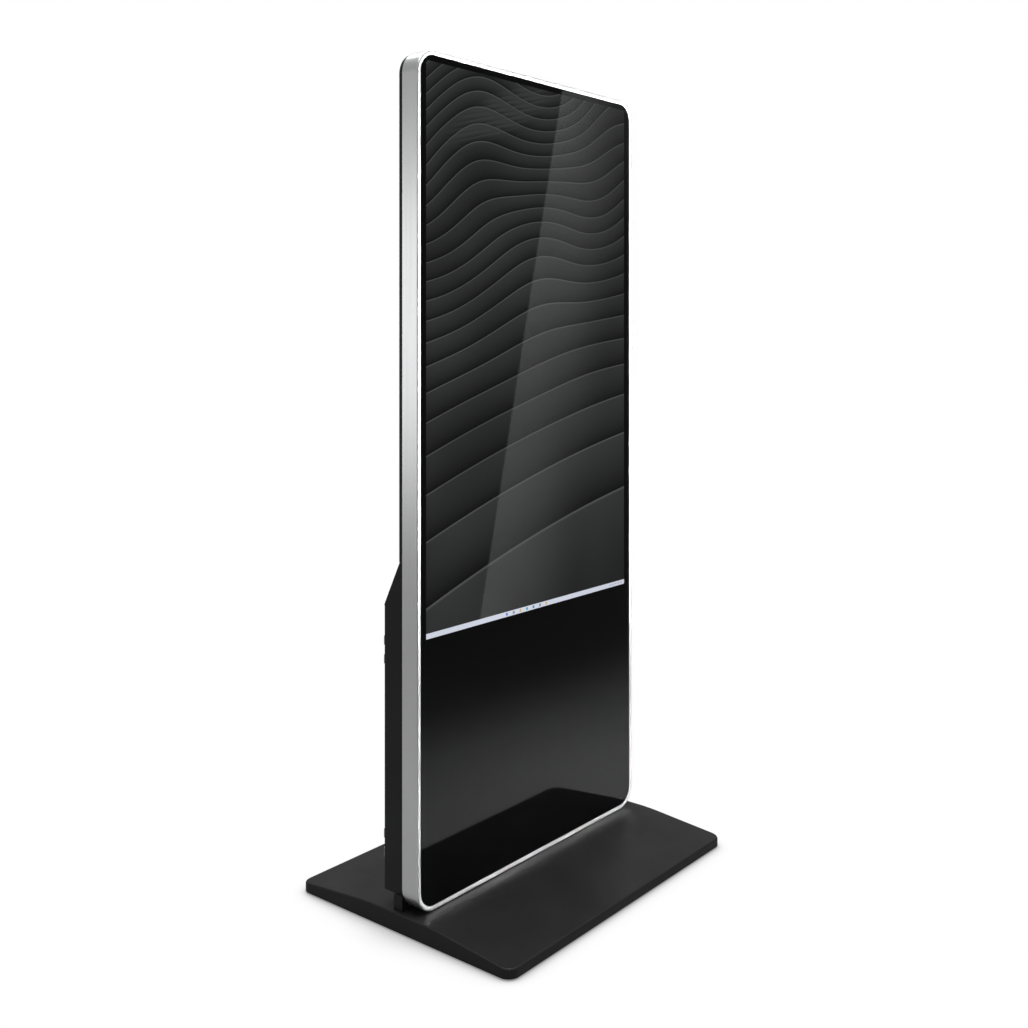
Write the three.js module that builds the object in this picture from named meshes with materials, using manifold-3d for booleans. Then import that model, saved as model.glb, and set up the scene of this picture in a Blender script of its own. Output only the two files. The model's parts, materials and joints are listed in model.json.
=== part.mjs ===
// A free-standing touchscreen kiosk: a portrait glass-fronted display in a slim aluminium frame,
// a deeper lower housing behind it that holds the electronics, and a wide low-profile foot.
// Millimetres, +Z up, front towards -Y, origin on the floor under the middle of the foot.
import * as THREE from "three";
import { mergeVertices } from "three/addons/utils/BufferGeometryUtils.js";
import Module from "manifold-3d";

const wasm = await Module();
wasm.setup();

// ---- driving dimensions ----
const GAP = 0.3; // air left between neighbouring pieces
const SHEET = 1.5; // folded sheet metal

const FRAME_WIDTH = 793;
const FRAME_BOTTOM = 43;
const FRAME_TOP = 1845;
const FRAME_FRONT = -48;
const FRAME_BACK = -3;
const FRAME_CORNER = 50;
const FRAME_LIP = 10;
const FRAME_WALL = 3;
const FRAME_SPLIT = 60; // how far each corner casting reaches along the rails
const LEDGE_WIDTH = 6;
const LEDGE_THICKNESS = 3;

const GLASS_RECESS = 0.5;
const GLASS_THICKNESS = 5;
const MASK_THICKNESS = 0.6;
const SENSOR_THICKNESS = 1.2;
const LIT_WIDTH = 734;
const LIT_HEIGHT = 1210;
const LIT_TOP_MARGIN = 12;
const PANEL_BORDER = 5.5;
const PANEL_BACK = -14;
const UPRIGHT_FRONT = -13.7;
const UPRIGHT_DEPTH = 10.4;

const COVER_INSET = 2;
const COVER_BACK = 9;
const HOUSING_WIDTH = 782;
const HOUSING_BACK = 56.6;
const HOUSING_BOTTOM = 74;
const SLOPE_LOW = 674;
const SLOPE_HIGH = 772;
const SIDE_FLANGE = 15;

const DOOR_RIGHT = 214.7;
const DOOR_RETURN = 12;
const HINGE_OUT = 5; // hinge axis behind the housing's rear face
const HINGE_RADIUS = 2.5;
const HINGE_HEIGHTS = [170, 580];
const HINGE_LENGTH = 60;
const HINGE_TAB = 12;
const LOCK_HEIGHTS = [220, 530];
const LOCK_X = 188;
const CAM_REACH = 42;

const STRIP_CENTRE = 295;
const INLET_Z = 130;
const ROCKER_Z = 190;
const BUTTON_Z = 240;
const LAN_Z = 290;
const USB_HEIGHTS = [325, 350];

const BASE_LENGTH = 813;
const BASE_DEPTH = 609;
const BASE_TOP = 42;
const BASE_LIFT = 3;
const BASE_EDGE = 22.4;
const BASE_CORNER = 26;
const BASE_SKIN = 2.5;
const PLATE_BOTTOM = 6;
const PLATE_TOP = 14;
const FOOT_RADIUS = 20;
const FOOT_X = 350;
const FOOT_Y = 250;

const NECK_WIDTH = 792;
const NECK_BACK = 21;
const POST_X = 250;
const POST_WIDTH = 60;
const POST_DEPTH = 18;
const POST_TOP = 665;
const BAY_FRONT = 20.1; // front plane of the equipment bay

// ---- derived places ----
const frameHeight = FRAME_TOP - FRAME_BOTTOM;
const glassFront = FRAME_FRONT + GLASS_RECESS;
const maskFront = glassFront + GLASS_THICKNESS + GAP;
const ledgeFront = maskFront + MASK_THICKNESS + GAP;
const glassTop = FRAME_TOP - FRAME_LIP - GAP;
const litTop = glassTop - LIT_TOP_MARGIN;
const litBottom = litTop - LIT_HEIGHT;
const frameMiddle = (FRAME_TOP + FRAME_BOTTOM) / 2;
const hingeX = -HOUSING_WIDTH / 2 + SIDE_FLANGE + GAP / 2;
const hingeY = HOUSING_BACK + HINGE_OUT;
const doorBottom = HOUSING_BOTTOM + 2;
const doorTop = SLOPE_LOW - 2;

// ---- materials ----
const finish = (color, roughness, metalness) => () =>
  new THREE.MeshStandardMaterial({ color, roughness, metalness });
const anodised = finish(0xc4c6c8, 0.35, 0.9);
const blackCoat = finish(0x1c1c1e, 0.55, 0.2);
const baseCoat = finish(0x2b2b2d, 0.45, 0.2);
const zincSteel = finish(0x9b9fa3, 0.5, 0.8);
const blackPlastic = finish(0x161616, 0.5, 0);
const circuitBoard = finish(0x1f5b3a, 0.6, 0);
const rubber = finish(0x202020, 0.9, 0);

// ---- geometry helpers ----
function boxBetween(x0, x1, y0, y1, z0, z1) {
  const box = new THREE.BoxGeometry(x1 - x0, y1 - y0, z1 - z0);
  return box.translate((x0 + x1) / 2, (y0 + y1) / 2, (z0 + z1) / 2);
}

// A rectangle with round corners, centred on (cx, cy).
function roundedRectangle(width, height, radius, cx = 0, cy = 0) {
  const x = cx + width / 2 - radius;
  const y = cy + height / 2 - radius;
  const left = cx - width / 2 + radius;
  const low = cy - height / 2 + radius;
  const shape = new THREE.Shape();
  shape.absarc(x, low, radius, -Math.PI / 2, 0);
  shape.absarc(x, y, radius, 0, Math.PI / 2);
  shape.absarc(left, y, radius, Math.PI / 2, Math.PI);
  shape.absarc(left, low, radius, Math.PI, 1.5 * Math.PI);
  shape.closePath();
  return shape;
}

const extrude = (shape, depth, curveSegments = 8) =>
  new THREE.ExtrudeGeometry(shape, { depth, bevelEnabled: false, curveSegments });

// A front-view outline (x, z) made solid between two depths.
function frontSlab(shape, y0, y1, curveSegments) {
  return extrude(shape, y1 - y0, curveSegments).rotateX(Math.PI / 2).translate(0, y1, 0);
}

// A side-view outline (y, z) made solid between two widths.
function sideSlab(shape, x0, x1, curveSegments) {
  const slab = extrude(shape, x1 - x0, curveSegments);
  return slab.rotateX(Math.PI / 2).rotateZ(Math.PI / 2).translate(x0, 0, 0);
}

// A plan outline (x, y) made solid between two heights.
const planSlab = (shape, z0, z1, curveSegments) =>
  extrude(shape, z1 - z0, curveSegments).translate(0, 0, z0);

// A cylinder along Y between two depths.
function rodY(radius, y0, y1, x, z, sides = 24) {
  return new THREE.CylinderGeometry(radius, radius, y1 - y0, sides).translate(x, (y0 + y1) / 2, z);
}

// A cylinder along Z between two heights.
function rodZ(radius, z0, z1, x, y, sides = 20) {
  const rod = new THREE.CylinderGeometry(radius, radius, z1 - z0, sides).rotateX(Math.PI / 2);
  return rod.translate(x, y, (z0 + z1) / 2);
}

function polygon(points) {
  return new THREE.Shape(points.map(([a, b]) => new THREE.Vector2(a, b)));
}

function solidOf(geometry) {
  const bare = geometry.clone();
  bare.deleteAttribute("normal");
  bare.deleteAttribute("uv");
  const merged = mergeVertices(bare, 1e-4);
  const vertProperties = merged.getAttribute("position").array;
  const triVerts = new Uint32Array(merged.index.array);
  return new wasm.Manifold(new wasm.Mesh({ numProp: 3, vertProperties, triVerts }));
}

function geometryOf(solid) {
  const mesh = solid.getMesh();
  const geometry = new THREE.BufferGeometry();
  geometry.setAttribute("position", new THREE.BufferAttribute(mesh.vertProperties, 3));
  geometry.setIndex(new THREE.BufferAttribute(mesh.triVerts, 1));
  geometry.computeVertexNormals();
  return geometry;
}

const join = (...geometries) =>
  geometryOf(geometries.map(solidOf).reduce((whole, next) => whole.add(next)));

const cut = (geometry, ...tools) =>
  geometryOf(tools.map(solidOf).reduce((whole, tool) => whole.subtract(tool), solidOf(geometry)));

const common = (a, b) => geometryOf(solidOf(a).intersect(solidOf(b)));

const kiosk = new THREE.Group();

function addPiece(name, geometry, material, place = [0, 0, 0]) {
  const mesh = new THREE.Mesh(geometry, material());
  mesh.name = name;
  mesh.position.set(...place);
  kiosk.add(mesh);
}

// ---- display stack ----
function frontOutline(inset, radius) {
  const width = FRAME_WIDTH - 2 * inset;
  return roundedRectangle(width, frameHeight - 2 * inset, radius, 0, frameMiddle);
}

function buildDisplayStack() {
  const inset = FRAME_LIP + GAP;
  const corner = FRAME_CORNER - inset;
  const glass = frontSlab(frontOutline(inset, corner), glassFront, glassFront + GLASS_THICKNESS);
  addPiece("front_glass", glass, finish(0x101214, 0.03, 0));

  const maskOutline = frontOutline(inset, corner);
  const window = roundedRectangle(LIT_WIDTH, LIT_HEIGHT, 1, 0, litTop - LIT_HEIGHT / 2);
  maskOutline.holes.push(window);
  const mask = frontSlab(maskOutline, maskFront, maskFront + MASK_THICKNESS);
  addPiece("printed_mask", mask, finish(0x0a0a0a, 0.4, 0));

  const halfPanel = LIT_WIDTH / 2 + PANEL_BORDER;
  const panelTop = litTop + PANEL_BORDER;
  const panelBottom = litBottom - PANEL_BORDER;
  const sensorBack = ledgeFront + SENSOR_THICKNESS;
  const sensor = boxBetween(
    -halfPanel, halfPanel, ledgeFront, sensorBack, panelBottom, panelTop,
  );
  addPiece("touch_sensor", sensor, finish(0x2a2f33, 0.1, 0));

  const moduleFront = sensorBack + GAP;
  const module = boxBetween(
    -halfPanel, halfPanel, moduleFront, PANEL_BACK - 8, panelBottom, panelTop,
  );
  const rearPan = boxBetween(
    -halfPanel + 30, halfPanel - 30, PANEL_BACK - 9, PANEL_BACK, panelBottom + 40, panelTop - 40,
  );
  addPiece("lcd_panel", join(module, rearPan), finish(0x3a3d40, 0.5, 0.6));

  const lowerSheet = boxBetween(
    -halfPanel, halfPanel, ledgeFront, ledgeFront + 2, FRAME_BOTTOM + 30, panelBottom - 2,
  );
  const stiffener = boxBetween(
    -halfPanel + 20, halfPanel - 20,
    ledgeFront + 1, ledgeFront + 14,
    panelBottom - 30, panelBottom - 26,
  );
  addPiece("lower_backing", join(lowerSheet, stiffener), blackCoat);
}

// ---- aluminium frame: four rails and four corner castings ----
function frameRing() {
  const back = FRAME_BACK;
  const ledgeBack = ledgeFront + LEDGE_THICKNESS;
  const body = frontSlab(frontOutline(0, FRAME_CORNER), FRAME_FRONT, back, 14);
  const glassPocket = frontSlab(
    frontOutline(FRAME_LIP, FRAME_CORNER - FRAME_LIP), FRAME_FRONT - 1, ledgeFront, 14,
  );
  const ledgeInset = FRAME_LIP + LEDGE_WIDTH;
  const ledgeHole = frontSlab(frontOutline(ledgeInset, 4), FRAME_FRONT - 1, back + 1);
  const rearPocket = frontSlab(
    frontOutline(FRAME_WALL, FRAME_CORNER - FRAME_WALL), ledgeBack, back + 1, 14,
  );
  return cut(body, glassPocket, ledgeHole, rearPocket);
}

function buildFrame() {
  const ring = frameRing();
  const half = FRAME_WIDTH / 2;
  const beyond = 5;
  const splitX = half - FRAME_SPLIT;
  const splitLow = FRAME_BOTTOM + FRAME_SPLIT;
  const splitHigh = FRAME_TOP - FRAME_SPLIT;
  const front = FRAME_FRONT - beyond;
  const back = FRAME_BACK + beyond;
  const joint = GAP / 2;
  const columns = {
    left: [-half - beyond, -splitX - joint],
    middle: [-splitX + joint, splitX - joint],
    right: [splitX + joint, half + beyond],
  };
  const rows = {
    bottom: [FRAME_BOTTOM - beyond, splitLow - joint],
    middle: [splitLow + joint, splitHigh - joint],
    top: [splitHigh + joint, FRAME_TOP + beyond],
  };
  for (const [column, [x0, x1]] of Object.entries(columns)) {
    for (const [row, [z0, z1]] of Object.entries(rows)) {
      if (column === "middle" && row === "middle") continue;
      const part = common(ring, boxBetween(x0, x1, front, back, z0, z1));
      const isCorner = column !== "middle" && row !== "middle";
      const side = column === "middle" ? row : column;
      const name = isCorner ? `frame_corner_${row}_${column}` : `frame_rail_${side}`;
      addPiece(name, part, anodised);
    }
  }
}

// ---- upper rear cover: a shallow pan with round upper corners and vent slots ----
function coverOutline(inset) {
  const half = FRAME_WIDTH / 2 - COVER_INSET - inset;
  const top = FRAME_TOP - COVER_INSET - inset;
  const bottom = SLOPE_HIGH + GAP + inset;
  const radius = FRAME_CORNER - COVER_INSET - inset;
  const shape = new THREE.Shape();
  shape.moveTo(-half, bottom);
  shape.lineTo(half, bottom);
  shape.absarc(half - radius, top - radius, radius, 0, Math.PI / 2);
  shape.absarc(-half + radius, top - radius, radius, Math.PI / 2, Math.PI);
  shape.closePath();
  return shape;
}

function slotRow(count, x, z, length, pitch, y0, y1, width = 4) {
  return Array.from({ length: count }, (_, i) => {
    const left = x + i * pitch;
    return boxBetween(left, left + width, y0, y1, z, z + length);
  });
}

function buildRearCover() {
  const front = FRAME_BACK + GAP;
  const pan = frontSlab(coverOutline(0), front, COVER_BACK, 10);
  const hollow = frontSlab(coverOutline(SHEET), front - 1, COVER_BACK - SHEET, 10);
  const slots = [-270, 150].flatMap((x) =>
    slotRow(12, x, 1640, 90, 10.5, COVER_BACK - 5, COVER_BACK + 5),
  );
  addPiece("rear_cover_upper", cut(pan, hollow, ...slots), blackCoat);
}

// ---- steel chassis: posts up from the foot, slim uprights behind the display, cross members ----
function channel(width, depth, wall, z0, z1) {
  const half = width / 2;
  const section = polygon([
    [-half, 0],
    [half, 0],
    [half, depth],
    [half - wall, depth],
    [half - wall, wall],
    [-half + wall, wall],
    [-half + wall, depth],
    [-half, depth],
  ]);
  return planSlab(section, z0, z1);
}

function buildChassis() {
  for (const [side, x] of [["left", -POST_X], ["right", POST_X]]) {
    const post = channel(POST_WIDTH, POST_DEPTH, 3, PLATE_TOP + GAP, POST_TOP);
    addPiece(`chassis_post_${side}`, post, zincSteel, [x, 0, 0]);
    const upright = channel(40, UPRIGHT_DEPTH, 2, POST_TOP - 110, litTop - 60);
    addPiece(`chassis_upright_${side}`, upright, zincSteel, [x, UPRIGHT_FRONT, 0]);
  }
  const span = POST_X - 20 - GAP;
  for (const [name, z] of [["middle", 1020], ["top", 1690]]) {
    const bar = boxBetween(-span, span, UPRIGHT_FRONT, UPRIGHT_FRONT + UPRIGHT_DEPTH, z, z + 45);
    const hollow = boxBetween(-span - 1, span + 1, UPRIGHT_FRONT + 2, 1, z + 2, z + 43);
    addPiece(`chassis_cross_${name}`, cut(bar, hollow), zincSteel);
  }
  const tray = boxBetween(
    -365, 365, POST_DEPTH + GAP, POST_DEPTH + GAP + SHEET, HOUSING_BOTTOM + 16, 640,
  );
  const cablePass = boxBetween(-60, 60, POST_DEPTH - 1, BAY_FRONT + 1, 560, 641);
  addPiece("equipment_tray", cut(tray, cablePass), zincSteel);
}

// ---- lower housing: two sides, the sloped top, the floor and the fixed connector strip ----
function buildHousing() {
  const half = HOUSING_WIDTH / 2;
  const front = FRAME_BACK + GAP;
  const outline = polygon([
    [front, HOUSING_BOTTOM],
    [HOUSING_BACK, HOUSING_BOTTOM],
    [HOUSING_BACK, SLOPE_LOW],
    [COVER_BACK, SLOPE_HIGH],
    [front, SLOPE_HIGH],
  ]);
  for (const [side, sign] of [["left", -1], ["right", 1]]) {
    const outer = sign * half;
    const inner = sign * (half - SHEET);
    const edge = sign * (half - SIDE_FLANGE);
    const wall = sideSlab(outline, Math.min(outer, inner), Math.max(outer, inner));
    const flange = boxBetween(
      Math.min(outer, edge), Math.max(outer, edge),
      HOUSING_BACK - SHEET, HOUSING_BACK, HOUSING_BOTTOM, SLOPE_LOW,
    );
    addPiece(`housing_side_${side}`, join(wall, flange), blackCoat);
  }

  const inside = half - SHEET - GAP;
  const slopeOutline = polygon([
    [HOUSING_BACK, SLOPE_LOW + GAP],
    [HOUSING_BACK, SLOPE_LOW + 2],
    [COVER_BACK + 1, SLOPE_HIGH],
    [front, SLOPE_HIGH],
    [front, SLOPE_HIGH - SHEET],
    [COVER_BACK, SLOPE_HIGH - SHEET],
    [HOUSING_BACK - SHEET, SLOPE_LOW + 1],
    [HOUSING_BACK - SHEET, SLOPE_LOW + GAP],
  ]);
  const slope = sideSlab(slopeOutline, -inside, inside);
  const slots = [-300, 160].flatMap((x) =>
    slotRow(12, x, 695, 50, 12, COVER_BACK + 2, HOUSING_BACK + 5),
  );
  addPiece("housing_slope", cut(slope, ...slots), blackCoat);

  const floorBack = HOUSING_BACK - SHEET - GAP;
  const floor = boxBetween(
    -inside, inside, front, floorBack, HOUSING_BOTTOM, HOUSING_BOTTOM + SHEET,
  );
  const lip = boxBetween(
    -inside, inside, floorBack - SHEET, floorBack, HOUSING_BOTTOM, HOUSING_BOTTOM + 10,
  );
  const postHoles = [-POST_X, POST_X].map((x) => {
    const reach = POST_WIDTH / 2 + 0.5;
    return boxBetween(
      x - reach, x + reach, -1, POST_DEPTH + 0.5, HOUSING_BOTTOM - 1, HOUSING_BOTTOM + 3,
    );
  });
  addPiece("housing_floor", cut(join(floor, lip), ...postHoles), blackCoat);

  const strip = boxBetween(
    DOOR_RIGHT + 2 * GAP, half - SIDE_FLANGE - GAP, HOUSING_BACK - SHEET, HOUSING_BACK,
    HOUSING_BOTTOM + GAP, SLOPE_LOW - GAP,
  );
  const reach = [HOUSING_BACK - 5, HOUSING_BACK + 5];
  const windows = [
    [INLET_Z, 29, 21],
    [ROCKER_Z, 21, 28],
    [LAN_Z, 17, 14.5],
    ...USB_HEIGHTS.map((z) => [z, 16, 8.5]),
  ].map(([z, width, height]) => {
    const w = width / 2;
    const h = height / 2;
    return boxBetween(STRIP_CENTRE - w, STRIP_CENTRE + w, ...reach, z - h, z + h);
  });
  const buttonHole = rodY(8.5, ...reach, STRIP_CENTRE, BUTTON_Z);
  const grille = slotRow(9, STRIP_CENTRE - 50, 540, 60, 12, ...reach);
  addPiece("connector_strip", cut(strip, ...windows, buttonHole, ...grille), blackCoat);
}

// ---- service door with knuckles, its hinge pins, and two quarter-turn locks ----
function knuckle(z, length) {
  return rodZ(HINGE_RADIUS + 2, z - length / 2, z + length / 2, hingeX, hingeY);
}

function buildDoor() {
  const left = hingeX + GAP / 2;
  const inner = HOUSING_BACK - SHEET;
  const leaf = boxBetween(left, DOOR_RIGHT, inner, HOUSING_BACK, doorBottom, doorTop);
  const returns = [doorBottom + 14, doorTop - SHEET].map((z) =>
    boxBetween(left + 4, DOOR_RIGHT - 60, inner - DOOR_RETURN, HOUSING_BACK - 0.5, z, z + SHEET),
  );
  const clearance = HINGE_RADIUS + 0.1;
  const third = HINGE_LENGTH / 3;
  const knuckles = HINGE_HEIGHTS.map((z) => knuckle(z, third - 2 * GAP));
  const straps = HINGE_HEIGHTS.map((z) =>
    boxBetween(
      hingeX, hingeX + 24, HOUSING_BACK - 0.5, HOUSING_BACK + 2,
      z - third / 2 + GAP, z + third / 2 - GAP,
    ),
  );
  const bores = HINGE_HEIGHTS.map((z) =>
    rodZ(clearance, z - HINGE_LENGTH, z + HINGE_LENGTH, hingeX, hingeY),
  );
  const lockHoles = LOCK_HEIGHTS.map((z) => rodY(8.3, inner - 2, HOUSING_BACK + 2, LOCK_X, z));
  const grille = slotRow(9, -320, 540, 60, 12, inner - 2, HOUSING_BACK + 2);
  const whole = join(leaf, ...returns, ...straps, ...knuckles);
  addPiece("service_door", cut(whole, ...bores, ...lockHoles, ...grille), blackCoat);

  for (const [i, z] of HINGE_HEIGHTS.entries()) {
    const pin = rodZ(HINGE_RADIUS, z - HINGE_LENGTH / 2, z + HINGE_LENGTH / 2, hingeX, hingeY);
    const ends = [-third, third].map((shift) => knuckle(z + shift, third - 2 * GAP));
    const tabs = [-third, third].map((shift) =>
      boxBetween(
        hingeX - HINGE_TAB, hingeX, HOUSING_BACK + GAP, HOUSING_BACK + 2.3,
        z + shift - third / 2 + GAP, z + shift + third / 2 - GAP,
      ),
    );
    const name = `door_hinge_${["lower", "upper"][i]}`;
    addPiece(name, join(pin, ...ends, ...tabs), zincSteel);
  }

  for (const [i, z] of LOCK_HEIGHTS.entries()) {
    const level = ["lower", "upper"][i];
    const flange = rodY(11, HOUSING_BACK + GAP, HOUSING_BACK + 2.8, 0, 0);
    const barrel = rodY(8, HOUSING_BACK - 11, HOUSING_BACK + 1, 0, 0);
    const bore = rodY(5.4, HOUSING_BACK - 20, HOUSING_BACK + 9, 0, 0);
    addPiece(`lock_barrel_${level}`, cut(join(flange, barrel), bore), zincSteel, [LOCK_X, 0, z]);
    const plug = rodY(5.1, HOUSING_BACK - 13, HOUSING_BACK + 2.4, 0, 0);
    const blade = boxBetween(-7, 7, HOUSING_BACK - 13.5, HOUSING_BACK - 11.3, -8, CAM_REACH - 8);
    const keyway = boxBetween(-0.8, 0.8, HOUSING_BACK - 4, HOUSING_BACK + 4, -3.6, 3.6);
    addPiece(`lock_cam_${level}`, cut(join(plug, blade), keyway), zincSteel, [LOCK_X, 0, z]);
  }
}

// ---- connectors and switches on the fixed strip ----
// A flanged body pushed through the strip from behind the window, with an open mouth facing back.
function socket(width, height, flange, depth, mouthWidth, mouthHeight, mouthDepth) {
  const face = HOUSING_BACK + GAP + 2;
  const w = width / 2;
  const h = height / 2;
  const rim = boxBetween(-w - flange, w + flange, HOUSING_BACK + GAP, face, -h - flange, h + flange);
  const body = boxBetween(-w, w, face - depth, face - 1, -h, h);
  const mouth = boxBetween(
    -mouthWidth / 2, mouthWidth / 2, face - mouthDepth, face + 1, -mouthHeight / 2, mouthHeight / 2,
  );
  return cut(join(rim, body), mouth);
}

function buildConnectors() {
  const at = (z) => [STRIP_CENTRE, 0, z];
  addPiece("power_inlet", socket(28, 20, 5, 30, 24, 16, 20), blackPlastic, at(INLET_Z));
  addPiece("lan_port", socket(16, 13.5, 1.5, 22, 12, 8.5, 14), zincSteel, at(LAN_Z));
  for (const [i, z] of USB_HEIGHTS.entries()) {
    const port = socket(15, 7.5, 1.5, 18, 13, 5.6, 12);
    addPiece(`usb_port_${["lower", "upper"][i]}`, port, zincSteel, at(z));
  }

  const rockerCase = socket(20, 27, 2.5, 26, 15, 22, 12);
  addPiece("rocker_case", rockerCase, blackPlastic, at(ROCKER_Z));
  const pivotY = HOUSING_BACK - 2;
  const rockerOutline = new THREE.Shape();
  rockerOutline.moveTo(-2, -10);
  rockerOutline.lineTo(4.6, -9.6);
  rockerOutline.quadraticCurveTo(2.2, 0, 5.6, 9.6);
  rockerOutline.lineTo(-2, 10);
  rockerOutline.quadraticCurveTo(-6, 0, -2, -10);
  const rocker = sideSlab(rockerOutline, -7, 7, 6);
  addPiece("power_rocker", rocker, finish(0x8c1d18, 0.4, 0), [STRIP_CENTRE, pivotY, ROCKER_Z]);

  const collar = rodY(10.5, HOUSING_BACK + GAP, HOUSING_BACK + 2, 0, 0);
  const sleeve = rodY(8.2, HOUSING_BACK - 16, HOUSING_BACK + 1, 0, 0);
  const bore = rodY(6.4, HOUSING_BACK - 12, HOUSING_BACK + 5, 0, 0);
  addPiece("button_case", cut(join(collar, sleeve), bore), zincSteel, at(BUTTON_Z));
  const cap = rodY(6, HOUSING_BACK - 8, HOUSING_BACK + 3.2, 0, 0);
  const stem = rodY(2.5, HOUSING_BACK - 10, HOUSING_BACK - 7, 0, 0, 12);
  addPiece("power_button", join(cap, stem), zincSteel, at(BUTTON_Z));
}

// ---- equipment in the bay ----
function buildMediaPlayer() {
  const caseBody = boxBetween(-90, 90, BAY_FRONT, BAY_FRONT + 24, -60, 60);
  const grooves = Array.from({ length: 9 }, (_, i) =>
    boxBetween(-80 + i * 18, -72 + i * 18, BAY_FRONT + 20, BAY_FRONT + 30, -50, 50),
  );
  addPiece("media_player", cut(caseBody, ...grooves), blackCoat, [-190, 0, 380]);
}

function buildPowerSupply() {
  const caseBody = boxBetween(-75, 75, BAY_FRONT, BAY_FRONT + 30, -50, 50);
  const terminals = boxBetween(-65, 65, BAY_FRONT + 14, BAY_FRONT + 40, -60, -38);
  addPiece("power_supply", cut(caseBody, terminals), zincSteel, [80, 0, 210]);
}

// A circuit board on four standoffs. Each block is its x, z, width, height and depth.
function board(width, height, blocks) {
  const front = BAY_FRONT + 6;
  const face = front + 1.6;
  const plate = boxBetween(-width / 2, width / 2, front, face, -height / 2, height / 2);
  const parts = blocks.map(([x, z, w, h, d]) =>
    boxBetween(x - w / 2, x + w / 2, face - 0.6, face + d, z - h / 2, z + h / 2),
  );
  const standoffX = width / 2 - 6;
  const standoffZ = height / 2 - 6;
  const standoffs = [-1, 1].flatMap((sx) =>
    [-1, 1].map((sz) => rodY(3, BAY_FRONT, front + 0.5, sx * standoffX, sz * standoffZ, 10)),
  );
  return join(plate, ...parts, ...standoffs);
}

function buildBoards() {
  const driverBlocks = [
    [0, 32, 50, 10, 7],
    [-30, 0, 24, 24, 3],
    [15, -5, 18, 18, 2],
    [40, -25, 12, 12, 9],
    [-30, -32, 40, 8, 6],
  ];
  addPiece("driver_board", board(130, 90, driverBlocks), circuitBoard, [40, 0, 380]);
  const touchBlocks = [
    [0, 0, 14, 14, 2],
    [-28, 0, 10, 22, 5],
    [28, 0, 12, 14, 5],
  ];
  addPiece("touch_controller", board(84, 34, touchBlocks), circuitBoard, [-200, 0, 520]);
}

function buildSpeakers() {
  for (const [side, x] of [["left", -284], ["right", 284]]) {
    const box = boxBetween(-50, 50, BAY_FRONT, BAY_FRONT + 28, -32, 32);
    const cone = new THREE.CylinderGeometry(26, 12, 14, 28).translate(0, BAY_FRONT + 22, 0);
    addPiece(`speaker_${side}`, cut(box, cone), blackPlastic, [x, 0, 570]);
  }
}

function buildFan() {
  const half = 46;
  const y0 = BAY_FRONT + 2;
  const y1 = y0 + 25;
  const shroud = frontSlab(roundedRectangle(2 * half, 2 * half, 6), y0, y1, 4);
  const bore = rodY(43, y0 + 3, y1 + 1, 0, 0, 40);
  const motorSeat = rodY(17, y0, y0 + 5, 0, 0, 20);
  const intake = rodY(41, y0 - 1, y0 + 4, 0, 0, 40);
  const struts = [0, 1, 2].map((i) =>
    boxBetween(-2, 2, y0, y0 + 3, 10, 44).rotateY((i * 2 * Math.PI) / 3),
  );
  const place = [90, 0, 590];
  const frame = join(cut(shroud, bore, intake), motorSeat, ...struts);
  addPiece("fan_frame", frame, blackPlastic, place);
  const hub = rodY(18, y0 + 6, y1 - 1, 0, 0, 28);
  const blades = Array.from({ length: 7 }, (_, i) => {
    const blade = new THREE.BoxGeometry(20, 1.6, 24).rotateZ(0.55);
    return blade.translate(0, y0 + 14.5, 28).rotateY((i * 2 * Math.PI) / 7);
  });
  addPiece("fan_rotor", join(hub, ...blades), blackPlastic, place);
}

// An internal lead along a smooth route, with a round section.
function lead(radius, points, steps) {
  const route = new THREE.CatmullRomCurve3(points.map((p) => new THREE.Vector3(...p)));
  const section = new THREE.Shape().absarc(0, 0, radius, 0, 2 * Math.PI);
  return new THREE.ExtrudeGeometry(section, {
    steps,
    curveSegments: 4,
    extrudePath: route,
  });
}

function buildLeads() {
  const displayRoute = [
    [40, BAY_FRONT + 12, 426],
    [40, BAY_FRONT + 12, 445],
    [30, BAY_FRONT + 14, 500],
    [10, BAY_FRONT + 8, 580],
    [0, 14, 650],
    [0, 10, 700],
    [0, 4, 727],
    [0, -4, 736],
    [0, -9, 737],
    [0, PANEL_BACK + 2 * GAP, 737],
  ];
  addPiece("display_lead", lead(3.5, displayRoute, 40), blackPlastic);
  const supplyRoute = [
    [STRIP_CENTRE, 40, INLET_Z + 15.4],
    [STRIP_CENTRE - 2, 39, INLET_Z + 25],
    [STRIP_CENTRE - 20, 34, INLET_Z + 50],
    [STRIP_CENTRE - 60, 33, INLET_Z + 72],
    [STRIP_CENTRE - 110, 34, INLET_Z + 80],
    [155.4, 34, INLET_Z + 80],
  ];
  addPiece("supply_lead", lead(3.5, supplyRoute, 30), blackPlastic);
}

// ---- foot: curved steel cover over a plate with ballast, on rubber pads ----
// The foot's end view: a flat middle, long gentle slopes and a rounded edge.
function footProfile(inset) {
  const half = BASE_DEPTH / 2 - inset;
  const top = BASE_TOP - inset;
  const edge = BASE_EDGE - inset;
  const bottom = inset > 0 ? 0 : BASE_LIFT;
  const shape = new THREE.Shape();
  shape.moveTo(-half, bottom);
  shape.lineTo(half, bottom);
  shape.lineTo(half, edge - 8);
  shape.quadraticCurveTo(half, edge, half - 8, edge + 0.8);
  shape.lineTo(130, top - 3.3);
  shape.quadraticCurveTo(95, top, 60, top);
  shape.lineTo(-60, top);
  shape.quadraticCurveTo(-95, top, -130, top - 3.3);
  shape.lineTo(-half + 8, edge + 0.8);
  shape.quadraticCurveTo(-half, edge, -half, edge - 8);
  shape.closePath();
  return shape;
}

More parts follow.
